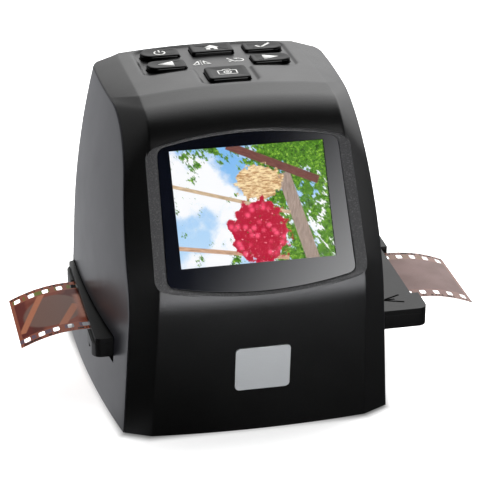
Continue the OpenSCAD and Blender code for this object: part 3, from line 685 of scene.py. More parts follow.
@dataclass(frozen=True)
class PaleFloor(Finish):
    """The floor: white, with a painted shadow at the object's foot and a glow of its own in reflections.

    The glows and the painted shadow are steps over places on the floor. An end is where a glow fades out sideways.
    """

    front_run: Pair = (1.5, 0.9)
    front_glow: Step = (-124.0, -64.0, 0.0, 0.76)
    front_end: Pair = (-42.0, -34.0)
    right_glow: Step = (-40.0, 20.0, 0.0, 0.07)
    far_glow: Step = (-236.0, -186.0, 8.0, 0.0)
    far_side: Pair = (-190.0, -80.0)
    back_glow: Step = (150.0, 500.0, 0.0, 0.6)
    back_side: Pair = (-60.0, 20.0)
    ridge_from: Pair = (-43.0, -37.0)
    ridge_rise: Pair = (0.15, 0.3)
    ridge_drop: Pair = (0.4, 0.6)
    ridge_end: Pair = (-60.0, -44.0)
    ridge_glow: float = 3.5
    foot_half: float = 46.6
    foot_flare: float = 0.09
    foot_front: float = 41.6
    foot_back: float = 42.0
    foot_bevel: Triple = (0.45, 0.89, 53.0)
    shadow: Step = (-1.5, 3.6, 0.2, 1.0)
    glow_tint: Triple = (0.95, 0.96, 1.0)
    tones: tuple[Triple, Triple] = ((0.90, 0.90, 0.90), (0.93, 0.93, 0.93))
    tone_blots: Blots = (0.004, 2.0)
    dark: Triple = (0.05, 0.05, 0.05)
    lift: float = 0.80

    def build(self) -> Material:
        """Makes the material.

        Returns:
            The material.
        """
        work = self.start()
        place = work.place()
        across, depth, _ = work.axes(place)
        # painted shadow: the floor's colour and its own glow are darkened under the object and at its foot
        lit = self._painted_shadow(work, across, depth)
        tone = work.blend(work.noise(place, *self.tone_blots), *self.tones)
        glow = work.add("Emission", {"Color": self.glow_tint, "Strength": self._glow(work, across, depth)})
        mirrored = work.add("LightPath", {}).outputs["Is Glossy Ray"]
        mix = work.add("MixShader", {0: mirrored, 1: work.shader.outputs[0], 2: glow.outputs[0]})
        work.feed(work.nodes["Material Output"].inputs["Surface"], mix.outputs[0])
        # the painted shadow darkens the base colour and the emission strength
        return work.shade({
            "Base Color": work.blend(lit, self.dark, tone), "Roughness": 1.0, "Specular IOR Level": 0.0,
            "Emission Color": PURE_WHITE, "Emission Strength": work.product(lit, self.lift),
        })

    def _glow(self, work: Wiring, across: Socket, depth: Socket) -> Socket:
        """What the floor shows in reflections: bright in front and at the back, with a streak at the left.

        Args:
            work: the material's tree.
            across: how far to the right a place is.
            depth: how far back it is.

        Returns:
            The glow's strength.
        """
        near = work.total(*(work.product(at, share) for at, share in zip((depth, across), self.front_run)))
        left = work.maths("MAXIMUM", work.maths("SUBTRACT", self.ridge_from[0], across), 1.0)
        slope = work.maths("DIVIDE", work.maths("SUBTRACT", depth, self.ridge_from[1]), left)
        return work.total(
            work.product(work.step(near, *self.front_glow), work.fall(across, *self.front_end)),
            work.step(across, *self.right_glow),
            work.product(work.step(depth, *self.far_glow), work.step(across, *self.far_side)),
            work.product(work.step(depth, *self.back_glow), work.step(across, *self.back_side)),
            work.product(work.band(slope, self.ridge_rise, self.ridge_drop), self.ridge_glow,
                         work.fall(across, *self.ridge_end)),
        )

    def _painted_shadow(self, work: Wiring, across: Socket, depth: Socket) -> Socket:
        """Painted shadow: the share of light painted on the floor, less of it under the object and at its foot.

        Args:
            work: the material's tree.
            across: how far to the right a place is.
            depth: how far back it is.

        Returns:
            The painted share of light.
        """
        outward, ahead = work.maths("ABSOLUTE", across), work.product(depth, -1.0)
        bevel_across, bevel_ahead, bevel_reach = self.foot_bevel
        bevel = work.total(work.product(outward, bevel_across), work.product(ahead, bevel_ahead))
        gap = work.maths(
            "MAXIMUM",
            work.maths("SUBTRACT", outward, work.total(work.product(depth, self.foot_flare), self.foot_half)),
            work.maths("SUBTRACT", ahead, self.foot_front), work.maths("SUBTRACT", bevel, bevel_reach),
            work.maths("SUBTRACT", depth, self.foot_back),
        )
        return work.step(gap, *self.shadow)


@dataclass(frozen=True)
class Glow(Finish):
    """A black card that glows towards its lower right, up to an end. Its places are in metres."""

    low: float
    high: float
    strength: float
    end: float
    soft: float = 0.02

    def build(self) -> Material:
        """Makes the material.

        Returns:
            The material.
        """
        work = self.start()
        across, up, _ = work.axes(work.add("TexCoord", {}).outputs["Object"])
        glow = work.step(work.maths("SUBTRACT", across, up), self.low, self.high, 0.0, self.strength)
        shown = work.fall(across, self.end - self.soft, self.end + self.soft)
        return work.shade({"Base Color": (0.0, 0.0, 0.0), "Emission Color": PURE_WHITE,
                           "Emission Strength": work.product(glow, shown)})


RESIN: Triple = (0.012, 0.012, 0.013)
SHELL = Moulded("shell_black", (0.0012, 0.0012, 0.0013), roughness=0.34, grain=2.2, depth=0.035, fleck=0.004)
SURROUND = Moulded("screen_surround_satin", (0.034, 0.034, 0.036), roughness=0.46, specular=0.34, grain=2.3,
                   depth=0.09, fleck=0.05)
SIDE = Moulded("side_panel_satin", (0.007, 0.007, 0.010), roughness=0.30, grain=5.0, depth=0.004)
KEY = Moulded("key_gloss", (0.002, 0.002, 0.002), roughness=0.12, specular=0.12, grain=1.5, depth=0.002)
KEY_TOP = Moulded("key_satin", (0.002, 0.002, 0.002), roughness=0.42, specular=0.22, grain=1.8, depth=0.01)
WINDOW = Moulded("window_smoked", (0.003, 0.0045, 0.011), roughness=0.07, grain=0.5, depth=0.0003)
PRINT = Moulded("white_print", (0.80, 0.80, 0.78), roughness=0.5, specular=0.2, grain=3.0, depth=0.001,
                mottle=0.03)
DARK_PRINT = Moulded("dark_print", (0.001, 0.001, 0.001), roughness=0.8, specular=0.04, grain=6.0,
                     depth=0.004)
PLATE = Brushed("nameplate_satin", (0.52, 0.54, 0.56))
TRAY = Moulded("tray_satin", (0.0012, 0.0012, 0.0012), roughness=0.36, specular=0.22, grain=1.6, depth=0.03,
               fleck=0.002)
STEEL = Moulded("plated_steel", (0.55, 0.55, 0.56), roughness=0.28, metallic=1.0, grain=3.0, depth=0.004)
BASE = Moulded("base_plastic", RESIN, roughness=0.55, grain=2.0, depth=0.03)
RUBBER = Moulded("foot_rubber", (0.02, 0.02, 0.02), roughness=0.8, grain=1.2, depth=0.05)
INNER = Moulded("inner_plastic", (0.04, 0.04, 0.045), roughness=0.5, grain=2.5, depth=0.02)
WHITE = Moulded("white_plastic", (0.82, 0.82, 0.80), roughness=0.5, grain=2.0, depth=0.01, mottle=0.04)
LAMP = Moulded("led_lens", (0.95, 0.85, 0.45), roughness=0.2, grain=1.0, depth=0.004, coat=0.5)
CHIP = Moulded("chip_resin", RESIN, roughness=0.6, grain=5.0, depth=0.02, fleck=0.02)
SOCKET = Moulded("socket_nylon", (0.012, 0.012, 0.012), roughness=0.45, grain=3.0, depth=0.01)
RIBBON = Moulded("ribbon_film", (0.55, 0.42, 0.16), roughness=0.35, grain=2.0, depth=0.01)
BOARD = CircuitBoard("solder_mask")
OPTICS = ClearPane("lens_glass", (0.85, 0.93, 0.97))
PANE = ClearPane("window_pane")
FLOOR = PaleFloor("pale_floor")
WINDOW_GLOW = Glow("window_glow", low=-0.108, high=0.082, strength=9.0, end=0.12)

PLAIN_NODES: dict[Finish, tuple[str, ...]] = {
    INNER: ("lcd_panel", "adapter_guide", "camera_bracket"),
    STEEL: ("lcd_frame", "button_switches", "hinge_pin", "case_screws", "board_screws", "short_screws"),
    BOARD: ("button_board", "main_board", "sensor_board"), CHIP: ("processor", "image_sensor"),
    WHITE: ("light_box", "diffuser", "led_board"), LAMP: ("leds",), SOCKET: ("lens_barrel",),
    OPTICS: ("lens_glass",), RIBBON: ("lcd_ribbon", "sensor_ribbon"),
}
SOFT_NODES: dict[str, tuple[Finish, float]] = {
    "rear_cover": (SHELL, 0.35), "base_cover": (BASE, 0.3), "rubber_feet": (RUBBER, 0.2),
    "nameplate": (PLATE, 0.15), "usb_port": (STEEL, 0.1), "video_jack": (SOCKET, 0.15),
    "card_slot": (STEEL, 0.1), "adapter_base": (TRAY, 0.35), "adapter_lid": (TRAY, 0.3),
}


# ---- meshes ----


def sheet(columns: int, rows: int, place: Placer, merged: bool = False) -> Mesh:
    """A grid laid over a surface.

    Args:
        columns: cells across.
        rows: cells up.
        place: gives the point of a column and row, in millimetres.
        merged: whether points that meet become one.

    Returns:
        The mesh.
    """
    mesh = bmesh.new()
    bmesh.ops.create_grid(mesh, x_segments=columns, y_segments=rows, size=1.0)
    for vert in mesh.verts:
        vert.co = place(round((vert.co.x + 1) / 2 * columns), round((vert.co.y + 1) / 2 * rows))
    if merged:
        bmesh.ops.remove_doubles(mesh, verts=mesh.verts, dist=TINY)
    return mesh


def slice_off(mesh: Mesh, point: Sequence[float], normal: Sequence[float], clear: bool = True) -> None:
    """Cuts a mesh along a plane through a point, and clears what lies beyond the plane if asked."""
    bmesh.ops.bisect_plane(mesh, geom=mesh.verts[:] + mesh.edges[:] + mesh.faces[:], dist=1e-5,
                           plane_co=Vector(point), plane_no=Vector(normal), clear_outer=clear)


def face_out(mesh: Mesh, test: Callable[[Face], float]) -> None:
    """Turns an open sheet over if its faces point inwards.

    Args:
        mesh: the sheet.
        test: gives a positive number for a face that points outwards.
    """
    mesh.normal_update()
    if sum(test(face) * face.calc_area() for face in mesh.faces) < 0:
        bmesh.ops.reverse_faces(mesh, faces=mesh.faces[:])
        mesh.normal_update()


def put(name: str, data: bpy.types.ID) -> Thing:
    """Puts a new object into the scene.

    Args:
        name: its name.
        data: its mesh, light or camera.

    Returns:
        The object.
    """
    thing = bpy.data.objects.new(name, data)
    bpy.context.scene.collection.objects.link(thing)
    return thing


def put_mesh(name: str, mesh: Mesh) -> Thing:
    """Puts a mesh into the scene as a new object.

    Args:
        name: the object's name.
        mesh: the mesh, which is used up.

    Returns:
        The object.
    """
    data = bpy.data.meshes.new(name)
    mesh.to_mesh(data)
    mesh.free()
    return put(name, data)


def smooth(thing: Thing, sharp: float) -> None:
    """Shades an object smoothly, apart from its edges over so many degrees."""
    thing.data.shade_smooth()
    thing.data.set_sharp_from_angle(angle=math.radians(sharp))


def piece(name: str, mesh: Mesh, finishes: Sequence[Finish], body: str,
          replaces: Sequence[str] = (), sharp: float = 38.0) -> Thing:
    """Hands a mesh over as a piece of the object.

    Args:
        name: the piece's name.
        mesh: its mesh, in millimetres.
        finishes: its finishes, in the order of its material indices.
        body: the body that it rides on.
        replaces: the nodes that it stands for.
        sharp: edges over this many degrees stay sharp.

    Returns:
        The piece.
    """
    bmesh.ops.scale(mesh, vec=(MM, MM, MM), verts=mesh.verts)
    thing = put_mesh(name, mesh)
    for finish in finishes:
        thing.data.materials.append(paint(finish))
    smooth(thing, sharp)
    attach(thing, body)
    if replaces:
        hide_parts(*replaces)
    LOG.info("%s: %d faces on %s", name, len(thing.data.polygons), body)
    return thing


def wall(thing: Thing, thickness: float) -> None:
    """Gives a sheet its wall, inwards.

    Args:
        thing: the sheet.
        thickness: the wall's thickness, in millimetres.
    """
    solid = thing.modifiers.new("wall", "SOLIDIFY")
    solid.thickness = thickness * MM
    solid.offset = -1.0
    solid.use_even_offset = False


def soften(thing: Thing, width: float, angle: float) -> None:
    """Rounds the sharp edges of a piece.

    Args:
        thing: the piece.
        width: how far the rounding reaches, in millimetres.
        angle: edges over this many degrees are rounded.
    """
    bevel = thing.modifiers.new("soft_edges", "BEVEL")
    bevel.width = width * MM
    bevel.segments = 2
    bevel.limit_method = "ANGLE"
    bevel.angle_limit = math.radians(angle)
    bevel.use_clamp_overlap = True


def settle(thing: Thing, sharp: float = 38.0) -> None:
    """Applies a piece's modifiers to its mesh.

    Args:
        thing: the piece.
        sharp: edges over this many degrees stay sharp.
    """
    ready = thing.evaluated_get(bpy.context.evaluated_depsgraph_get())
    data = bpy.data.meshes.new_from_object(ready)
    thing.modifiers.clear()
    thing.data = data
    smooth(thing, sharp)


def carve(thing: Thing, cutters: Iterable[Mesh]) -> None:
    """Cuts solid shapes out of a piece.

    Args:
        thing: the piece.
        cutters: the shapes, in millimetres.
    """
    tools = []
    for number, cutter in enumerate(cutters):
        bmesh.ops.scale(cutter, vec=(MM, MM, MM), verts=cutter.verts)
        bmesh.ops.recalc_face_normals(cutter, faces=cutter.faces)
        tools.append(put_mesh(f"cutter_{number}", cutter))
        cut = thing.modifiers.new("cut", "BOOLEAN")
        cut.operation = "DIFFERENCE"
        cut.solver = "EXACT"
        cut.object = tools[-1]
    settle(thing)
    for tool in tools:
        data = tool.data
        bpy.data.objects.remove(tool)
        bpy.data.meshes.remove(data)


def round_off(mesh: Mesh, geom: Sequence[Union[Vert, Edge]], radius: float, segments: int,
              affect: str = "VERTICES") -> None:
    """Rounds off some corners or edges of a mesh."""
    bmesh.ops.bevel(mesh, geom=geom, offset=radius, offset_type="OFFSET", segments=segments, profile=0.5,
                    affect=affect, material=-1)


def rounded_block(size: Pair, radii: Pair, low: float, high: float, centre: Pair, segments: int = 8) -> Mesh:
    """A block with a corner radius of its own at each end.

    Args:
        size: its width and depth.
        radii: the radius of its left and of its right corners.
        low: the height of its foot.
        high: the height of its top.
        centre: its place.
        segments: steps in a corner.

    Returns:
        The block.
    """
    mesh = bmesh.new()
    bmesh.ops.create_grid(mesh, x_segments=1, y_segments=1, size=0.5)
    bmesh.ops.scale(mesh, vec=(size[0], size[1], 1), verts=mesh.verts)
    for side, radius in zip((-1, 1), radii):
        corners = [v for v in mesh.verts
                   if v.co.x * side > size[0] / 2 - TINY and abs(abs(v.co.y) - size[1] / 2) < TINY]
        round_off(mesh, corners, radius, segments)
    bmesh.ops.translate(mesh, vec=(*centre, low), verts=mesh.verts)
    raised = bmesh.ops.extrude_face_region(mesh, geom=mesh.faces[:], use_keep_orig=True)
    bmesh.ops.translate(mesh, vec=(0, 0, high - low),
                        verts=[item for item in raised["geom"] if isinstance(item, Vert)])
    bmesh.ops.recalc_face_normals(mesh, faces=mesh.faces)
    return mesh


def stretch(start: Vector, end: Vector, count: int) -> list[Vector]:
    """Points in even steps from a start, which is one of them, to an end, which isn't."""
    return [start.lerp(end, i / count) for i in range(count)]


def curve(start: Vector, bend: Vector, end: Vector, share: float) -> Vector:
    """A point of the curve that leaves a start towards a bend and comes in to an end from there."""
    return start * (1 - share) ** 2 + bend * (2 * share * (1 - share)) + end * share ** 2


# ---- the body ----


@dataclass
class BodyForm:
    """The outer form of the body: a crowned band between two bevels and two flanks."""

    front_y: float = -42.0
    back_y: float = 42.5
    front_lean: float = 5.5
    deck_front_z: float = 100.9
    deck_back_z: float = 99.6
    crease_y: float = -3.0
    shoulder_rise: float = 6.0
    crown: float = 2.0
    band_half: float = 34.9
    band_taper: float = 0.044
    flank_half: float = 43.4
    flank_taper: float = 0.051
    flare: float = 5.8
    flare_y: float = 30.0
    flare_run: float = 67.5
    curl_z: float = 45.0
    curl_r: float = 260.0
    flank_y: float = -37.7
    flank_lean: float = 0.03
    flank_top_z: float = 97.0
    flank_middle_z: float = 70.0
    flank_tilt: float = 26.0
    bevel_depth: float = 4.6
    back_corner: float = 6.0
    back_r: float = 1.0
    brow_r: float = 25.0
    shoulder_r: float = 22.0
    flank_r: float = 30.0
    wall: float = 2.0
    seam: float = 0.05
    bottom: float = 0.8
    screen_tilt: float = 31.2
    screen_y: float = -34.9
    screen_z: float = 73.0
    stretch_steps: tuple[int, int, int, int] = (12, 16, 8, 80)
    corner_steps: tuple[int, int, int] = (12, 14, 6)
    first_share: float = 0.8
    rounds: int = 5

    def slope_y(self, z: float) -> float:
        """The sloping face's Y at a height."""
        return self.screen_y + (z - self.screen_z) * math.tan(math.radians(self.screen_tilt))

    def band_x(self, z: float) -> float:
        """Half the band's width at a height."""
        return self.band_half - self.band_taper * z

    def flank_x(self, y: float, z: float) -> float:
        """Half the body's width at a place."""
        width = self.flank_half - self.flank_taper * z - max(z - self.curl_z, 0.0) ** 2 / (2 * self.curl_r)
        return width + self.flare * (1 - ((self.flare_y - y) / self.flare_run) ** 2)

    def side_x(self, y: float, z: float) -> float:
        """The same, with the rounded back corner.

        Args:
            y: how far back the place is.
            z: its height.

        Returns:
            Half the width.
        """
        last = self.back_y - self.back_corner
        if y <= last:
            return self.flank_x(y, z)
        reach = min(y - last, self.back_corner)
        return self.flank_x(last, z) - self.back_corner + math.sqrt(self.back_corner ** 2 - reach ** 2)

    def deck_z(self, x: float, y: float) -> float:
        """The top deck's height at a place."""
        drop = (self.deck_front_z - self.deck_back_z) * (y - self.crease_y) / (self.back_y - self.crease_y)
        return self.deck_front_z - drop + self.crown * (1 - (x / self.band_x(self.deck_front_z)) ** 2)

    @staticmethod
    def corner(before: Vector, point: Vector, after: Vector, radius: float, steps: int) -> list[Vector]:
        """The rounded corner of a path in the YZ plane.

        Args:
            before: the path's point before the corner.
            point: the corner.
            after: the path's point after it.
            radius: the corner's radius, which is cut down where the path is too short for it.
            steps: how many steps it has.

        Returns:
            Its points.
        """
        u = (before - point).normalized()
        w = (after - point).normalized()
        half = u.angle(w) / 2
        room = CORNER_SHARE * min((before - point).length, (after - point).length)
        reach = min(radius / math.tan(half), room)
        middle = point + (u + w).normalized() * reach / math.cos(half)
        start = point + u * reach - middle
        end = point + w * reach - middle
        first = math.atan2(start.y, start.x)
        sweep = (math.atan2(end.y, end.x) - first + math.pi) % (2 * math.pi) - math.pi
        turns = (first + sweep * i / steps for i in range(steps + 1))
        return [middle + start.length * Vector((math.cos(a), math.sin(a))) for a in turns]

    def _path(self, toe: Vector, brow: Vector, shoulder: Vector, crease: Optional[Vector], back: Vector,
              radii: Pair) -> list[Vector]:
        """A path over the body with rounded corners, with a fixed count of steps in each stretch.

        Args:
            toe: where it starts at the floor.
            brow: where the front goes over into the slope.
            shoulder: where the slope goes over into the top.
            crease: where the top bends again, if it does.
            back: the back's upper edge.
            radii: the radius of the brow and of the shoulder.

        Returns:
            Its points.
        """
        front, slope, rise, deck = self.stretch_steps
        at_brow, at_shoulder, at_back = self.corner_steps
        first = self.corner(toe, brow, shoulder, radii[0], at_brow)
        second = self.corner(brow, shoulder, back if crease is None else crease, radii[1], at_shoulder)
        third = self.corner(shoulder if crease is None else crease, back, Vector((back.x, 0.0)), self.back_r,
                            at_back)
        path = stretch(toe, first[0], front) + first[:-1] + stretch(first[-1], second[0], slope) + second[:-1]
        if crease is None:
            path += stretch(second[-1], third[0], rise + deck)
        else:
            path += stretch(second[-1], crease, rise) + stretch(crease, third[0], deck)
        return path + third

    def band_line(self, rise: float) -> list[Vector]:
        """The band's outline, where it stands a rise above its edge.

        Args:
            rise: how far it stands out.

        Returns:
            Its (Y, Z) points.
        """
        lean, run, climb = (math.tan(math.radians(a))
                            for a in (self.front_lean, self.screen_tilt, self.shoulder_rise))
        offset = -self.screen_y + self.screen_z * run
        brow_z = (self.front_y + offset) / (run + lean)
        shoulder_z = (self.deck_front_z - climb * (self.crease_y + offset)) / (1 - climb * run)
        path = self._path(Vector((self.front_y, 0.0)), Vector((self.slope_y(brow_z), brow_z)),
                          Vector((self.slope_y(shoulder_z), shoulder_z)),
                          Vector((self.crease_y, self.deck_front_z)),
                          Vector((self.back_y - rise, self.deck_back_z)), (self.brow_r, self.shoulder_r))
        lifted = []
        for i, point in enumerate(path):
            ahead = path[min(i + 1, len(path) - 1)] - path[max(i - 1, 0)]
            lifted.append(point + Vector((-ahead.y, ahead.x)).normalized() * rise)
        return lifted

    def flank_line(self) -> list[Vector]:
        """The flank's outline, step for step with the band's.

        Returns:
            Its (Y, Z) points.
        """
        run = math.tan(math.radians(self.flank_tilt))
        middle = Vector((self.slope_y(self.flank_middle_z) + 2 * self.bevel_depth, self.flank_middle_z))
        brow_z = (self.flank_y - middle.x + middle.y * run) / (run + self.flank_lean)
        shoulder = Vector((middle.x + (self.flank_top_z - middle.y) * run, self.flank_top_z))
        brow = Vector((self.flank_y - self.flank_lean * brow_z, brow_z))
        return self._path(Vector((self.flank_y, 0.0)), brow, shoulder, None,
                          Vector((self.back_y, self.flank_top_z)), (self.flank_r, self.flank_r))

    def bevel_point(self, band: Vector, flank: Vector, share: float) -> Vector:
        """A point of the bevel on the right side, from the band's edge at 0 to the flank's at 1."""
        inner = Vector((self.band_x(band.y), band.x, band.y))
        return inner.lerp(Vector((self.flank_x(flank.x, flank.y), flank.x, flank.y)), share)

    def bevel_end(self, band: Vector, flank: Vector, inset: float) -> float:
        """How far along the bevel it comes within an inset of the flank.

        Args:
            band: the (Y, Z) point of the band's edge.
            flank: that of the flank's edge.
            inset: the distance from the flank.

        Returns:
            The share of the bevel.
        """
        share = self.first_share
        inner = self.band_x(band.y)
        width = self.flank_x(flank.x, flank.y) - inner
        for _ in range(self.rounds):
            point = self.bevel_point(band, flank, share)
            share = (self.side_x(point.y, point.z) - inset - inner) / width
        return share


@dataclass
class Keypad:
    """The sunk field round the keys, and how the keys sit in it."""

    form: BodyForm
    depth: float = 0.7
    lip: float = 0.85
    half: float = 25.4
    back: float = 39.4
    waist: float = 14.6
    front: float = -1.0
    neck: float = 9.2
    corner: float = 3.0
    brim: float = 1.3
    brim_drop: float = 0.30
    proud: float = 0.7
    gap: float = 0.25

    def _beyond(self, x: float, y: float, half_x: float, front: float) -> float:
        """How far a place lies outside a rounded box that reaches to the field's back.

        Args:
            x: how far to the right the place is.
            y: how far back it is.
            half_x: half the box's width.
            front: the box's front.

        Returns:
            The distance, negative inside the box.
        """
        dx = abs(x) - half_x + self.corner
        dy = abs(y - (front + self.back) / 2) - (self.back - front) / 2 + self.corner
        return math.hypot(max(dx, 0.0), max(dy, 0.0)) + min(max(dx, dy), 0.0) - self.corner

    def sink(self, x: float, y: float) -> float:
        """How deep the deck is sunk at a place, with a gentle brim before the steep wall.

        Args:
            x: how far to the right the place is.
            y: how far back it is.

        Returns:
            The depth.
        """
        outside = min(self._beyond(x, y, self.half, self.waist), self._beyond(x, y, self.neck, self.front))
        share = min(max(0.5 - outside / self.lip, 0.0), 1.0)
        brim = self.brim_drop * max(1 - max(outside, 0.0) / self.brim, 0.0) ** 2
        return max(self.depth * share * share * (3 - 2 * share), brim)

    def floor_z(self, x: float, y: float) -> float:
        """The deck's height with the sunk field in it."""
        return self.form.deck_z(x, y) - self.sink(x, y)


class Symbol(Enum):
    """What is printed on a key or beside it."""

    POWER = "power"
    HOME = "home"
    CONFIRM = "confirm"
    LEFT = "left"
    RIGHT = "right"
    CAPTURE = "capture"
    MIRROR = "mirror"
    ROTATE = "rotate"
    ARROW = "arrow"


@dataclass
class Inlay:
    """One printed symbol, drawn flat round the origin and then laid on a surface."""

    symbol: Symbol
    lift: float = 0.045
    thickness: float = 0.05
    arc_step: float = 15.0
    mesh: Mesh = field(default_factory=bmesh.new)

    def bar(self, start: Pair, end: Pair, width: float) -> None:
        """Draws a straight stroke.

        Args:
            start: the middle of one end.
            end: the middle of the other.
            width: how wide it is.
        """
        a, b = Vector((*start, 0)), Vector((*end, 0))
        run = b - a
        turn = Matrix.Rotation(math.atan2(run.y, run.x), 4, "Z")
        size = Matrix.Diagonal((run.length, width, 1, 1))
        bmesh.ops.create_grid(self.mesh, x_segments=3, y_segments=1, size=0.5,
                              matrix=Matrix.Translation((a + b) / 2) @ turn @ size)

    def arc(self, centre: Pair, radius: float, start: float, end: float, width: float) -> None:
        """Draws a curved stroke.

        Args:
            centre: its middle.
            radius: the radius of its middle line.
            start: the angle where it starts, in degrees.
            end: the angle where it ends.
            width: how wide it is.
        """
        middle = Vector((*centre, 0))
        ray = Vector((math.cos(math.radians(start)), math.sin(math.radians(start)), 0))
        verts = [self.mesh.verts.new(middle + ray * (radius + k)) for k in (-width / 2, width / 2)]
        edge = self.mesh.edges.new(verts)
        bmesh.ops.spin(self.mesh, geom=[*verts, edge], cent=middle, axis=(0, 0, 1), dvec=(0, 0, 0),
                       angle=math.radians(end - start), steps=round((end - start) / self.arc_step),
                       use_merge=False)

    def fill(self, *corners: Pair) -> None:
        """Draws a filled shape with straight sides."""
        self.mesh.faces.new([self.mesh.verts.new((*corner, 0)) for corner in corners])

    def wedge(self, centre: Pair, size: float, angle: float) -> None:
        """Draws a filled triangle that points along an angle in degrees."""
        turn = Matrix.Rotation(math.radians(angle - 90), 4, "Z")
        bmesh.ops.create_circle(self.mesh, cap_ends=True, radius=size, segments=3,
                                matrix=Matrix.Translation((*centre, 0)) @ turn)

    def _power(self) -> None:
        """A ring with a stroke through its gap."""
        self.arc((0, -0.3), 1.75, 125, 415, 0.5)
        self.bar((0, 0.0), (0, 2.1), 0.5)

    def _home(self) -> None:
        """A small house with a doorway."""
        self.fill((-2.6, 0.1), (0.0, 2.3), (2.6, 0.1))
        self.fill((-1.9, 0.1), (1.9, 0.1), (1.9, -0.7), (-1.9, -0.7))
        for side in (-1, 1):
            self.fill((side * 0.6, -0.7), (side * 1.9, -0.7), (side * 1.9, -2.1), (side * 0.6, -2.1))

    def _confirm(self) -> None:
        """A tick."""
        self.bar((-2.3, 0.2), (-0.6, -1.7), 0.85)
        self.bar((-0.95, -1.7), (2.8, 2.1), 0.85)

    def _left(self) -> None:
        """A triangle that points to the left."""
        self.fill((2.5, 2.3), (-2.7, 0.1), (2.5, -2.1))

    def _right(self) -> None:
        """A triangle that points to the right."""
        self.fill((-2.5, 2.3), (2.7, 0.1), (-2.5, -2.1))

    def _capture(self) -> None:
        """A camera's outline with its lens."""
        self.arc((0, -0.25), 1.15, 0, 360, 0.4)
        self.arc((0, -0.25), 0.35, 0, 360, 0.35)
        right = [(3.0, -2.0), (3.0, 1.4), (1.5, 1.4), (1.0, 2.2)]
        corners = right + [(-x, y) for x, y in reversed(right)]
        for start, end in zip(corners, corners[1:] + corners[:1]):
            self.bar(start, end, 0.4)

    def _mirror(self) -> None:
        """Two facing triangles beside a dashed line."""
        for side in (-1, 1):
            self.bar((side * 0.9, -1.7), (side * 0.9, 1.7), 0.42)
            self.bar((side * 0.9, 1.7), (side * 2.9, -1.6), 0.42)
            self.bar((side * 0.9, -1.6), (side * 2.9, -1.6), 0.5)
        for y in (-1.8, -0.6, 0.6, 1.8):
            self.bar((0, y - 0.35), (0, y + 0.35), 0.36)

    def _rotate(self) -> None:
        """A round arrow beside a slash."""
        self.arc((0.9, 0), 1.5, -150, 120, 0.5)
        self.wedge((0.1, 1.4), 0.85, 160)
        self.bar((-2.8, 2.0), (-0.5, -2.0), 0.5)
        self.wedge((-2.3, -1.1), 0.8, 250)

    def _arrow(self) -> None:
        """An arrow that shows which way to push."""
        self.bar((-3.4, 0), (3.0, 3.0), 0.75)
        self.bar((-3.4, 0), (3.4, -2.4), 0.75)
        self.bar((-2.6, 0.1), (0.8, 0.25), 0.75)

    def lay(self, name: str, centre: Pair, height: Callable[[float, float], float], finish: Finish, body: str) -> None:
        """Draws the symbol and lays it on a surface.

        Args:
            name: the piece's name.
            centre: where the drawing's origin goes.
            height: gives the surface's height at a place.
            finish: the ink.
            body: the body that the mark rides on.
        """
        strokes = {
            Symbol.POWER: self._power, Symbol.HOME: self._home, Symbol.CONFIRM: self._confirm,
            Symbol.LEFT: self._left, Symbol.RIGHT: self._right, Symbol.CAPTURE: self._capture,
            Symbol.MIRROR: self._mirror, Symbol.ROTATE: self._rotate, Symbol.ARROW: self._arrow,
        }
        strokes[self.symbol]()
        for vert in self.mesh.verts:
            x, y = vert.co.x + centre[0], vert.co.y + centre[1]
            vert.co = Vector((x, y, height(x, y) + self.lift))
        self.mesh.normal_update()
        for face in self.mesh.faces:
            if face.normal.z < 0:
                face.normal_flip()
        wall(piece(name, self.mesh, [finish], body), self.thickness)


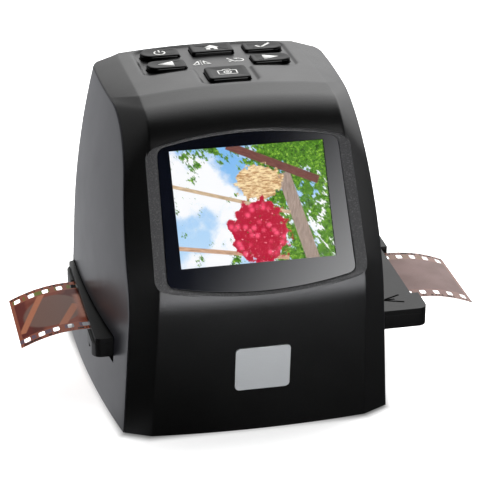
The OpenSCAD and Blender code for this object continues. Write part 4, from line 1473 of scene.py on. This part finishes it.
@dataclass
class Shells:
    """The front cover and the two side panels."""

    form: BodyForm
    keypad: Keypad
    slot_y: Pair = (-26.0, 36.0)
    slot_z: Pair = (19.8, 29.1)
    deck_low: float = 95.0
    band_columns: int = 136
    crease_round: float = 0.5
    crease_steps: int = 5
    bevel_columns: int = 7
    edge_round: float = 0.35
    edge_limit: float = 0.7
    edge_steps: int = 5
    lip: float = 0.32
    top_drop: float = 2.4
    back_steps: int = 18
    foot_steps: int = 24
    rings: int = 22
    pole: Pair = (8.0, 45.0)
    panel_wall: float = 1.6
    sharp: float = 45.0

    def front_cover(self, holes: Iterable[Mesh]) -> None:
        """Makes the front cover with its bevels and its sunk keypad.

        Args:
            holes: the solid shapes that are cut out of it.
        """
        form = self.form
        reach = 1 - self.crease_round / form.band_half
        shares = [reach * (2 * i / self.band_columns - 1) for i in range(self.band_columns + 1)]
        edge, flank = form.band_line(0.0), form.flank_line()
        ends = [form.bevel_end(b, f, self.lip + form.seam) for b, f in zip(edge, flank)]
        lines = {share: form.band_line(form.crown * (1 - share * share)) for share in shares}
        extra = self.crease_steps + self.bevel_columns

        def on_band(share: float, row: int) -> Vector:
            """A point of the band at a share of its half width, before the keypad is sunk."""
            point = lines[share][row]
            return Vector((share * form.band_x(point.y), min(point.x, form.back_y), point.y))

        def place(column: int, row: int) -> Vector:
            """A point of the cover: along the left bevel, across the band and along the right bevel.

            Args:
                column: the step across.
                row: the step from the toe to the back.

            Returns:
                The point.
            """
            i = column - extra
            if 0 <= i <= self.band_columns:
                point = on_band(shares[i], row)
                if point.z > self.deck_low and point.y > form.crease_y:
                    point.z -= self.keypad.sink(point.x, point.y)
                return point
            side, step = (-1, -i) if i < 0 else (1, i - self.band_columns)
            crease = form.bevel_point(edge[row], flank[row], 0.0)
            end = form.bevel_point(edge[row], flank[row], ends[row])
            begin = crease.lerp(end, self.crease_round / max((end - crease).length, 3 * self.crease_round))
            if step <= self.crease_steps:
                point = curve(on_band(shares[-1], row), crease, begin, step / self.crease_steps)
            else:
                point = begin.lerp(end, (step - self.crease_steps) / self.bevel_columns)
            return Vector((side * point.x, point.y, point.z))

        mesh = sheet(self.band_columns + 2 * extra, len(edge) - 1, place)
        slice_off(mesh, (0, form.back_y - form.wall - form.seam, 0), (0, 1, 0))
        slice_off(mesh, (0, 0, form.bottom), (0, 0, -1))
        face_out(mesh, lambda face: face.normal.z - 2 * face.normal.y)
        cover = piece("front_shell", mesh, [SHELL], "housing", ("front_cover",))
        carve(cover, holes)
        wall(cover, form.wall)
        settle(cover, self.sharp)

    def _rim(self, last: float) -> list[tuple[Vector, Vector]]:
        """The side panel's closed rim: along the bevel, down the back and along the foot.

        Args:
            last: how far back the panel reaches.

        Returns:
            Pairs of an inner and an outer point.
        """
        form = self.form
        rim = []
        for b, f in zip(form.band_line(0.0), form.flank_line()):
            if f.x <= last and (f.x <= form.back_y / 2 or f.y >= form.flank_top_z - self.top_drop):
                low, high = (form.bevel_end(b, f, inset) for inset in (self.lip, 0.0))
                rim.append((form.bevel_point(b, f, low), form.bevel_point(b, f, high)))
        top, start = rim[-1][1].z, rim[0][1].y
        spots = [(last, top * (1 - i / self.back_steps)) for i in range(1, self.back_steps + 1)]
        spots += [(last + (start - last) * i / self.foot_steps, 0.0) for i in range(1, self.foot_steps)]
        for y, z in spots:
            outer = Vector((form.side_x(y, z), y, z))
            rim.append((outer - Vector((form.wall / 2, 0, 0)), outer))
        return [*rim, rim[0]]

    def side_panel(self, side: int) -> None:
        """Makes one side panel with its rounded edge and its slot.

        Args:
            side: -1 for the left panel, 1 for the right.
        """
        form = self.form
        inside = form.back_corner - form.wall
        rim = self._rim(form.back_y - form.back_corner + math.sqrt(form.back_corner ** 2 - inside ** 2))
        pole = Vector(self.pole)

        def inward(outer: Vector, share: float) -> Vector:
            """The point of the flank at a share of the way from the rim to the panel's middle."""
            spot = Vector((outer.y, outer.z)).lerp(pole, share)
            return Vector((form.side_x(spot.x, spot.y), spot.x, spot.y))

        def place(column: int, row: int) -> Vector:
            """A point of the panel.

            Args:
                column: the step round the rim.
                row: the step from the rim's inner edge, round the soft edge, to the middle.

            Returns:
                The point.
            """
            low, outer = rim[column]
            turn_in = self.edge_round / (Vector((outer.y, outer.z)) - pole).length
            strip = outer - low
            begin = outer - strip * min(self.edge_round / max(strip.length, TINY), self.edge_limit)
            if row == 0:
                point = low
            elif row <= self.edge_steps:
                point = curve(begin, outer, inward(outer, turn_in), (row - 1) / (self.edge_steps - 1))
            else:
                share = (row - self.edge_steps) / self.rings
                point = inward(outer, turn_in * (1 - share) + share)
            return Vector((side * point.x, point.y, point.z))

        mesh = sheet(len(rim) - 1, self.edge_steps + self.rings, place, merged=True)
        slice_off(mesh, (0, 0, form.bottom), (0, 0, -1))
        for y, z in zip(self.slot_y, self.slot_z):
            slice_off(mesh, (0, y, 0), (0, 1, 0), clear=False)
            slice_off(mesh, (0, 0, z), (0, 0, 1), clear=False)
        middles = {f: f.calc_center_median() for f in mesh.faces}
        gone = [f for f, middle in middles.items()
                if self.slot_y[0] < middle.y < self.slot_y[1] and self.slot_z[0] < middle.z < self.slot_z[1]]
        bmesh.ops.delete(mesh, geom=gone, context="FACES")
        face_out(mesh, lambda face: face.normal.x * side)
        name = "left" if side < 0 else "right"
        panel = piece(f"{name}_side_shell", mesh, [SIDE], "housing", (f"{name}_side_panel",))
        wall(panel, self.panel_wall)
        settle(panel, self.sharp)


@dataclass
class Screen:
    """The window in the sloping face, its satin surround and the lit picture behind it."""

    form: BodyForm
    picture: Pair = (48.96, 36.72)
    picture_middle: Pair = (-0.5, 2.1)
    top_half: float = 28.4
    bottom_half: float = 29.8
    top: float = 21.2
    bottom: float = 21.8
    bow: float = 3.2
    corner_r: float = 2.4
    corner_grow: float = 0.5
    corner_pull: float = 0.30
    seat: float = -0.7
    thickness: float = 1.2
    soft_edge: float = 0.07
    soft_angle: float = 60.0
    sharp: float = 20.0
    grow: float = 1.4
    side: float = 2.1
    side_from: float = 0.42
    top_share: float = 0.5
    edge_steps: int = 20
    rounds: int = 6
    cut: Pair = (-12.0, 30.0)
    profile: tuple[Pair, ...] = ((0.22, -0.8), (0.22, -0.14), (0.28, -0.04), (0.42, 0.0), (0.9, 0.0))
    rim_gap: float = 0.03
    surround_wall: float = 0.5
    surround_sharp: float = 60.0
    tuck: float = 0.4
    overlap: float = 0.01
    cells: tuple[int, int] = (40, 32)
    margin: int = 5
    lcd_level: float = -2.77
    lcd_border: float = 0.7
    lcd_cells: tuple[int, int] = (8, 6)
    roll_up: float = -15.2
    shoulder_up: float = 19.7
    bevel_drop: float = 0.8

    def place(self, x: float, up: float, out: float) -> Vector:
        """A point of the sloping face: across it, up it and out of it."""
        tilt = math.radians(self.form.screen_tilt)
        return Vector((x, self.form.screen_y + up * math.sin(tilt) - out * math.cos(tilt),
                       self.form.screen_z + up * math.cos(tilt) + out * math.sin(tilt)))

    def half(self, up: float, grow: float) -> float:
        """Half the window's width at a height on the slope."""
        share = (up + self.bottom + self.bow) / (self.top + self.bottom + 2 * self.bow)
        return self.bottom_half + (self.top_half - self.bottom_half) * share + grow

    def edge(self, x: float, grow: float, upper: bool) -> float:
        """The height of the bowed top or bottom edge.

        Args:
            x: the place across.
            grow: how far the outline is grown.
            upper: whether the top edge is meant.

        Returns:
            The height on the slope.
        """
        grow *= self.top_share if upper else 1.0
        radius = (self.top_half ** 2 + self.bow ** 2) / (2 * self.bow) + grow
        drop = radius - math.sqrt(radius ** 2 - x ** 2)
        return self.top + self.bow + grow - drop if upper else drop - self.bottom - self.bow - grow

    def skin(self, point: Vector) -> float:
        """How far the body's skin stands out of the sloping face.

        Args:
            point: the place on the face.

        Returns:
            The distance.
        """
        form = self.form
        width = form.band_x(self.place(*point, 0.0).z)
        crown = form.crown * (1 - min(abs(point.x) / width, 1.0) ** 2)
        drop = max(abs(point.x) - width, 0.0) * self.bevel_drop
        low, high = max(self.roll_up - point.y, 0.0), max(point.y - self.shoulder_up, 0.0)
        return crown - drop - low ** 2 / (2 * form.brow_r) - high ** 2 / (2 * form.shoulder_r)

    def _eased(self, point: Vector, corners: Iterable[Vector], radius: float) -> Vector:
        """A point of an outline, pulled on to the nearest corner's round.

        Args:
            point: the point.
            corners: the outline's corners.
            radius: how far a corner's round reaches.

        Returns:
            The pulled point.
        """
        near = min(corners, key=lambda corner: (corner - point).length)
        gap = (near - point).length
        if gap >= radius:
            return point
        inside = Vector((-math.copysign(1, near.x), -math.copysign(1, near.y))).normalized()
        return point + inside * (1 - gap / radius) ** 2 * radius * self.corner_pull

    def outline(self, grow: float, side: float) -> list[Vector]:
        """The window's outline, grown all round, with rounded corners.

        Args:
            grow: how far it is grown.
            side: how much further it is grown at its left and right.

        Returns:
            Its points on the slope.
        """
        ends = []
        for upper in (False, True):
            x = self.bottom_half
            for _ in range(self.rounds):
                x = self.half(self.edge(x, grow, upper), grow + side)
            ends.append(Vector((x, self.edge(x, grow, upper))))
        low, high = ends
        count = self.edge_steps
        points = stretch(low, high, count)
        bow = [1 - i / count for i in range(2 * count)]
        points += [Vector((k * high.x, self.edge(k * high.x, grow, True))) for k in bow]
        points += [Vector((-p.x, p.y)) for p in stretch(high, low, count)]
        points += [Vector((-k * low.x, self.edge(k * low.x, grow, False))) for k in bow]
        corners = [low, high, Vector((-high.x, high.y)), Vector((-low.x, low.y))]
        return [self._eased(point, corners, self.corner_r + grow * self.corner_grow) for point in points]

    def hole(self) -> Mesh:
        """The shape that is cut out of the front cover for the window.

        Returns:
            The shape.
        """
        points = self.outline(self.grow, self.side)
        mesh = sheet(len(points), 1, lambda c, r: self.place(*points[c % len(points)], self.cut[r]), True)
        bmesh.ops.holes_fill(mesh, edges=mesh.edges, sides=0)
        return mesh

    def surround(self) -> None:
        """Makes the satin frame between the window and the rim of its opening."""
        profile = [*self.profile, (self.grow - self.rim_gap, 0.0)]
        run = profile[-1][0] - self.side_from
        rings = [self.outline(grow, self.side * max(grow - self.side_from, 0.0) / run) for grow, _ in profile]
        count = len(rings[-1])

        def place(column: int, row: int) -> Vector:
            """A point of the frame: ring by ring outwards, then up under the rim of the opening.

            Args:
                column: the step round the window.
                row: the ring.

            Returns:
                The point.
            """
            point = rings[min(row, len(rings) - 1)][column % count]
            skin = self.skin(point)
            seat = min(self.seat, skin)
            under_rim = max(skin - self.tuck, seat + self.overlap)
            level = seat + profile[row][1] if row < len(rings) else under_rim
            return self.place(*point, level)

        mesh = sheet(count, len(rings), place, merged=True)
        face_out(mesh, lambda face: -face.normal.y + face.normal.z)
        rim = piece("screen_surround", mesh, [SURROUND], "housing", ("front_cover",))
        wall(rim, self.surround_wall)
        settle(rim, self.surround_sharp)

    def window(self) -> None:
        """Makes the window: a smoked border round a clear pane."""
        inner = Vector(self.picture) / 2
        middle = Vector(self.picture_middle)
        columns, rows = self.cells
        tall = (self.top + self.bottom) / 2
        corners = []
        for upper, up in ((False, -self.bottom), (True, self.top)):
            x = self.half(up, 0.0)
            corners += [Vector((s * x, self.edge(x, 0.0, upper))) for s in (-1, 1)]

        def place(column: int, row: int) -> Vector:
            """A point of the window: even steps over the picture, and a few from there to the outline.

            Args:
                column: the step across.
                row: the step up.

            Returns:
                The point.
            """
            c, r = 2 * column / columns - 1, 2 * row / rows - 1
            limit_c, limit_r = 1 - 2 * self.margin / columns, 1 - 2 * self.margin / rows
            x = middle.x + min(max(c / limit_c, -1.0), 1.0) * inner.x
            if abs(c) > limit_c:
                x += (abs(c) - limit_c) / (1 - limit_c) * (math.copysign(self.half(r * tall, 0.0), c) - x)
            y = middle.y + min(max(r / limit_r, -1.0), 1.0) * inner.y
            if abs(r) > limit_r:
                y += (abs(r) - limit_r) / (1 - limit_r) * (self.edge(x, 0.0, r > 0) - y)
            return self._eased(Vector((x, y)), corners, self.corner_r).to_3d()

        mesh = sheet(columns, rows, place)
        for face in mesh.faces:
            offset = face.calc_center_median().to_2d() - middle
            face.material_index = 1 if abs(offset.x) < inner.x and abs(offset.y) < inner.y else 0
        for vert in mesh.verts:
            vert.co = self.place(vert.co.x, vert.co.y, self.seat)
        face_out(mesh, lambda face: -face.normal.y)
        window = piece("window", mesh, [WINDOW, PANE], "housing", ("screen_lens",))
        wall(window, self.thickness)
        soften(window, self.soft_edge, self.soft_angle)
        settle(window, self.sharp)

    def lit_picture(self) -> None:
        """Makes the lit face of the display."""
        x, y = self.picture_middle
        width, height = (size + 2 * self.lcd_border for size in self.picture)
        columns, rows = self.lcd_cells
        mesh = sheet(columns, rows, lambda c, r: self.place(x + (c / columns - 0.5) * width,
                                                            y + (r / rows - 0.5) * height, self.lcd_level))
        face_out(mesh, lambda face: -face.normal.y)
        turn = math.radians(90 - self.form.screen_tilt)
        finish = GardenPicture("lit_picture", tuple(self.place(x, y, 0.0)), turn)
        piece("lit_picture", mesh, [finish], "housing")


@dataclass(frozen=True)
class Key:
    """One key: what is printed on it, its place, its size, and the radius of its left and right corners."""

    symbol: Symbol
    centre: Pair
    size: Pair
    radii: Pair

    @property
    def body(self) -> str:
        """The body that the key is."""
        return f"{self.symbol.value}_key"


@dataclass
class Keys:
    """The six keys and the marks between them."""

    pad: Keypad
    end_r: float = 3.65
    small_r: float = 1.2
    front_r: float = 1.6
    outer_size: Pair = (13.0, 7.4)
    home_size: Pair = (14.2, 8.2)
    front_size: Pair = (13.8, 11.4)
    outer_x: float = 17.4
    back_y: float = 33.2
    home_y: float = 32.8
    middle_y: float = 20.8
    front_y: float = 6.9
    deck_marks: tuple[tuple[Symbol, Pair], ...] = (
        (Symbol.MIRROR, (-5.6, 21.6)), (Symbol.ROTATE, (6.2, 22.2)),
    )
    cut: Pair = (90.0, 110.0)
    skirt: float = 3.6
    corner_steps: int = 10
    edge: float = 0.7
    edge_steps: int = 5
    sharp: float = 50.0
    dish: float = 0.12
    dish_inset: float = 0.9
    satin_drop: float = 0.14

    def all(self) -> list[Key]:
        """The keys from the back left to the front.

        Returns:
            The keys.
        """
        left, right = (self.end_r, self.small_r), (self.small_r, self.end_r)
        return [
            Key(Symbol.POWER, (-self.outer_x, self.back_y), self.outer_size, left),
            Key(Symbol.HOME, (0.0, self.home_y), self.home_size, (self.small_r, self.small_r)),
            Key(Symbol.CONFIRM, (self.outer_x, self.back_y), self.outer_size, right),
            Key(Symbol.LEFT, (-self.outer_x, self.middle_y), self.outer_size, left),
            Key(Symbol.RIGHT, (self.outer_x, self.middle_y), self.outer_size, right),
            Key(Symbol.CAPTURE, (0.0, self.front_y), self.front_size, (self.front_r, self.front_r)),
        ]

    def holes(self) -> list[Mesh]:
        """The shapes that are cut out of the deck for the keys.

        Returns:
            The shapes.
        """
        gap = self.pad.gap
        return [rounded_block(tuple(s + 2 * gap for s in key.size), tuple(r + gap for r in key.radii),
                              *self.cut, key.centre) for key in self.all()]

    def top(self, key: Key) -> float:
        """The height of a key's face."""
        return self.pad.form.deck_z(*key.centre) + self.pad.proud

    def cap(self, key: Key) -> None:
        """Makes a key's cap with its glossy rounded shoulders and its shallow satin dish.

        Args:
            key: the key.
        """
        top = self.top(key)
        mesh = rounded_block(key.size, key.radii, top - self.skirt, top, key.centre, self.corner_steps)
        rim = [e for e in mesh.edges if all(abs(v.co.z - top) < TINY for v in e.verts)]
        round_off(mesh, rim, self.edge, self.edge_steps, "EDGES")
        face = max(mesh.faces, key=lambda f: f.calc_center_median().z)
        bmesh.ops.inset_region(mesh, faces=[face], thickness=self.dish_inset, use_even_offset=True)
        for vert in face.verts:
            vert.co.z -= self.dish
        for ring in mesh.faces:
            ring.material_index = 1 if ring.calc_center_median().z > top - self.satin_drop else 0
        node = f"{key.symbol.value}_button"
        piece(f"{key.body}_cap", mesh, [KEY, KEY_TOP], key.body, (node,), self.sharp)

    def dress(self) -> None:
        """Makes all keys and marks."""
        for key in self.all():
            self.cap(key)
            level = self.top(key) - self.dish
            Inlay(key.symbol).lay(f"{key.body}_mark", key.centre, lambda x, y, z=level: z, PRINT, key.body)
        for symbol, centre in self.deck_marks:
            Inlay(symbol).lay(f"deck_{symbol.value}_mark", centre, self.pad.floor_z, PRINT, "housing")


@dataclass
class FilmStrip:
    """Four frames of perforated film, flat in the adapter, with both ends hanging."""

    adapter_x: float = 5.0
    middle_y: float = 5.0
    length: float = 152.0
    shift: float = -0.8
    width: float = 35.0
    level: float = 26.1
    thickness: float = 0.14
    play: float = 0.02
    flat_half: float = 56.0
    droop: float = 4.6
    pitch: float = 4.75
    hole: Pair = (1.98, 2.8)
    hole_inset: float = 2.0
    hole_r: float = 0.45
    hole_steps: int = 3
    inner_lines: Triple = (-6.0, 0.0, 6.0)
    sharp: float = 60.0

    @property
    def start_x(self) -> float:
        """The strip's left end."""
        return self.adapter_x + self.shift - self.length / 2

    def top(self, x: float) -> float:
        """The height of the strip's upper face."""
        beyond = max(abs(x - self.adapter_x) - self.flat_half, 0.0)
        return self.level - self.play - self.droop * (beyond / (self.length / 2 - self.flat_half)) ** 2

    def build(self) -> None:
        """Makes the strip with its rounded perforations."""
        margin = (self.pitch - self.hole[0]) / 2
        xs = [self.start_x + i * self.pitch + d
              for i in range(round(self.length / self.pitch)) for d in (0.0, margin, margin + self.hole[0])]
        xs.append(self.start_x + self.length)
        half = self.width / 2
        outer, inner = half - self.hole_inset, half - self.hole_inset - self.hole[1]
        ys = [self.middle_y + y for y in (-half, -outer, -inner, *self.inner_lines, inner, outer, half)]
        mesh = sheet(len(xs) - 1, len(ys) - 1, lambda c, r: Vector((xs[c], ys[r], self.top(xs[c]))))
        middles = {f: f.calc_center_median() for f in mesh.faces}
        holes = [f for f, at in middles.items() if inner < abs(at.y - self.middle_y) < outer
                 and margin < (at.x - self.start_x) % self.pitch < margin + self.hole[0]]
        bmesh.ops.delete(mesh, geom=holes, context="FACES")
        round_off(mesh, [v for v in mesh.verts if len(v.link_faces) == 3], self.hole_r, self.hole_steps)
        face_out(mesh, lambda face: face.normal.z)
        finish = NegativeFilm("negative_film", self.start_x, self.middle_y)
        strip = piece("film", mesh, [finish], "film", ("film_strip",))
        wall(strip, self.thickness - self.play)
        settle(strip, self.sharp)
        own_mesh(strip)


@dataclass
class FrameNodes:
    """The nodes that keep their own shape. The outer ones are copied and get soft edges."""

    joint: float = 1e-3
    flat_angle: float = 0.6
    sharp: float = 34.0
    soft_angle: float = 50.0

    def dress(self) -> None:
        """Gives each node its finish."""
        for finish, names in PLAIN_NODES.items():
            for name in names:
                data = frame["nodes"][name].data
                data.materials.clear()
                data.materials.append(paint(finish))
        bodies = {n: b for b, names in frame["record"]["behaviour"]["bodies"].items() for n in names}
        for name, (finish, edge) in SOFT_NODES.items():
            mesh = bmesh.new()
            mesh.from_mesh(frame["nodes"][name].data)
            bmesh.ops.scale(mesh, vec=(1 / MM,) * 3, verts=mesh.verts)
            bmesh.ops.remove_doubles(mesh, verts=mesh.verts, dist=self.joint)
            bmesh.ops.dissolve_limit(mesh, angle_limit=math.radians(self.flat_angle), verts=mesh.verts,
                                     edges=mesh.edges)
            thing = piece(f"{name}_form", mesh, [finish], bodies[name], (name,), self.sharp)
            soften(thing, edge, self.soft_angle)


# ---- the studio ----


@dataclass
class Studio:
    """The camera, the floor, the backdrop and the lights. Places are in metres."""

    position: Triple = (-0.1316, -0.6048, 0.3322)
    yaw: float = 12.53
    dip: float = 24.74
    roll: float = 0.24
    lens: float = 155.55
    sensor: float = 36.0
    near: float = 0.01
    depth_fade: Step = (-0.02, 0.54, 0.012, 1.95)
    side_fade: Step = (-0.36, 0.18, 0.20, 1.12)
    height_fade: Step = (-0.05, 0.38, 0.42, 1.0)
    floor_half: float = 3.0
    floor_cells: int = 24
    lamps: tuple[tuple[str, Triple, Triple, Pair, float], ...] = (
        ("top_light", (0.05, 0.35, 1.1), (0.0, 0.0, 0.08), (1.0, 0.7), 9.0),
        ("left_light", (-1.0, 0.1, 0.5), (0.0, 0.0, 0.05), (0.6, 0.8), 3.0),
        ("right_light", (0.9, 0.25, 0.75), (0.0, 0.0, 0.08), (0.5, 0.7), 5.0),
    )
    card_at: Triple = (0.150, -0.620, 0.420)
    card_target: Triple = (0.0, -0.035, 0.073)
    card_half: float = 0.36
    card_cells: int = 8

    def camera(self) -> None:
        """Sets up the camera."""
        data = bpy.data.cameras.new("camera")
        data.sensor_width = self.sensor
        data.lens = self.lens
        data.clip_start = self.near
        eye = put("camera", data)
        yaw, dip, roll = (math.radians(a) for a in (self.yaw, self.dip, self.roll))
        ahead = Vector((math.sin(yaw) * math.cos(dip), math.cos(yaw) * math.cos(dip), -math.sin(dip)))
        right = Vector((math.cos(yaw), -math.sin(yaw), 0.0))
        up = right.cross(ahead)
        turned = right * math.cos(roll) + up * math.sin(roll)
        upright = up * math.cos(roll) - right * math.sin(roll)
        rows = list(zip(turned, upright, -ahead, self.position))
        eye.matrix_world = Matrix([*rows, (0.0, 0.0, 0.0, 1.0)])
        bpy.context.scene.camera = eye

    def world(self) -> None:
        """Surrounds the object with a white room that is dark in front and dimmer at the left and below."""
        world = bpy.data.worlds.new("room")
        bpy.context.scene.world = world
        work = Wiring(world, "Background")
        x, y, z = work.axes(work.add("TexCoord", {}).outputs["Generated"])
        level = work.product(work.step(y, *self.depth_fade), work.step(x, *self.side_fade, "LINEAR"),
                             work.step(z, *self.height_fade, "LINEAR"))
        seen = work.add("LightPath", {}).outputs["Is Camera Ray"]
        mix = work.add("Mix", {0: seen, 2: level, 3: 1.0}, data_type="FLOAT")
        work.shade({"Strength": mix.outputs[0], "Color": PURE_WHITE})

    @staticmethod
    def grid(name: str, cells: int, half: float, finish: Finish) -> Thing:
        """Sets up a flat square that belongs to the studio.

        Args:
            name: its name.
            cells: its cells along a side.
            half: half its width, in metres.
            finish: its finish.

        Returns:
            The square.
        """
        mesh = bmesh.new()
        bmesh.ops.create_grid(mesh, x_segments=cells, y_segments=cells, size=half)
        thing = put_mesh(name, mesh)
        thing.data.materials.append(paint(finish))
        return thing

    @staticmethod
    def aim(thing: Thing, at: Triple, target: Triple) -> None:
        """Hangs a thing at a place so that it faces a target."""
        thing.location = at
        thing.rotation_euler = (Vector(target) - Vector(at)).to_track_quat("-Z", "Y").to_euler()

    def lights(self) -> None:
        """Hangs the soft lights, and the card that is seen only in reflections."""
        for name, at, target, size, power in self.lamps:
            data = bpy.data.lights.new(name, "AREA")
            data.shape = "RECTANGLE"
            data.size, data.size_y = size
            data.energy = power
            lamp = put(name, data)
            self.aim(lamp, at, target)
            lamp.visible_camera = False
            lamp.visible_glossy = False
        card = self.grid("window_glow", self.card_cells, self.card_half, WINDOW_GLOW)
        self.aim(card, self.card_at, self.card_target)
        for sight in ("camera", "diffuse", "transmission", "volume_scatter", "shadow"):
            setattr(card, f"visible_{sight}", False)

    def build(self) -> None:
        """Sets up everything round the object."""
        bpy.context.scene.view_settings.view_transform = "Standard"
        self.camera()
        self.world()
        self.grid("floor", self.floor_cells, self.floor_half, FLOOR)
        self.lights()


def main() -> None:
    """Builds the studio and every piece of the scanner."""
    logging.basicConfig(level=logging.INFO, format="%(name)s: %(message)s")
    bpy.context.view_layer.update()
    Studio().build()
    form = BodyForm()
    keys = Keys(Keypad(form))
    screen = Screen(form)
    shells = Shells(form, keys.pad)
    shells.front_cover([*keys.holes(), screen.hole()])
    for side in (-1, 1):
        shells.side_panel(side)
    screen.surround()
    screen.window()
    screen.lit_picture()
    keys.dress()
    FilmStrip().build()
    Inlay(Symbol.ARROW).lay("tray_arrow", TRAY_ARROW, lambda x, y: TRAY_TOP_Z, DARK_PRINT, "film_adapter")
    FrameNodes().dress()


if __name__ == "__main__":
    main()
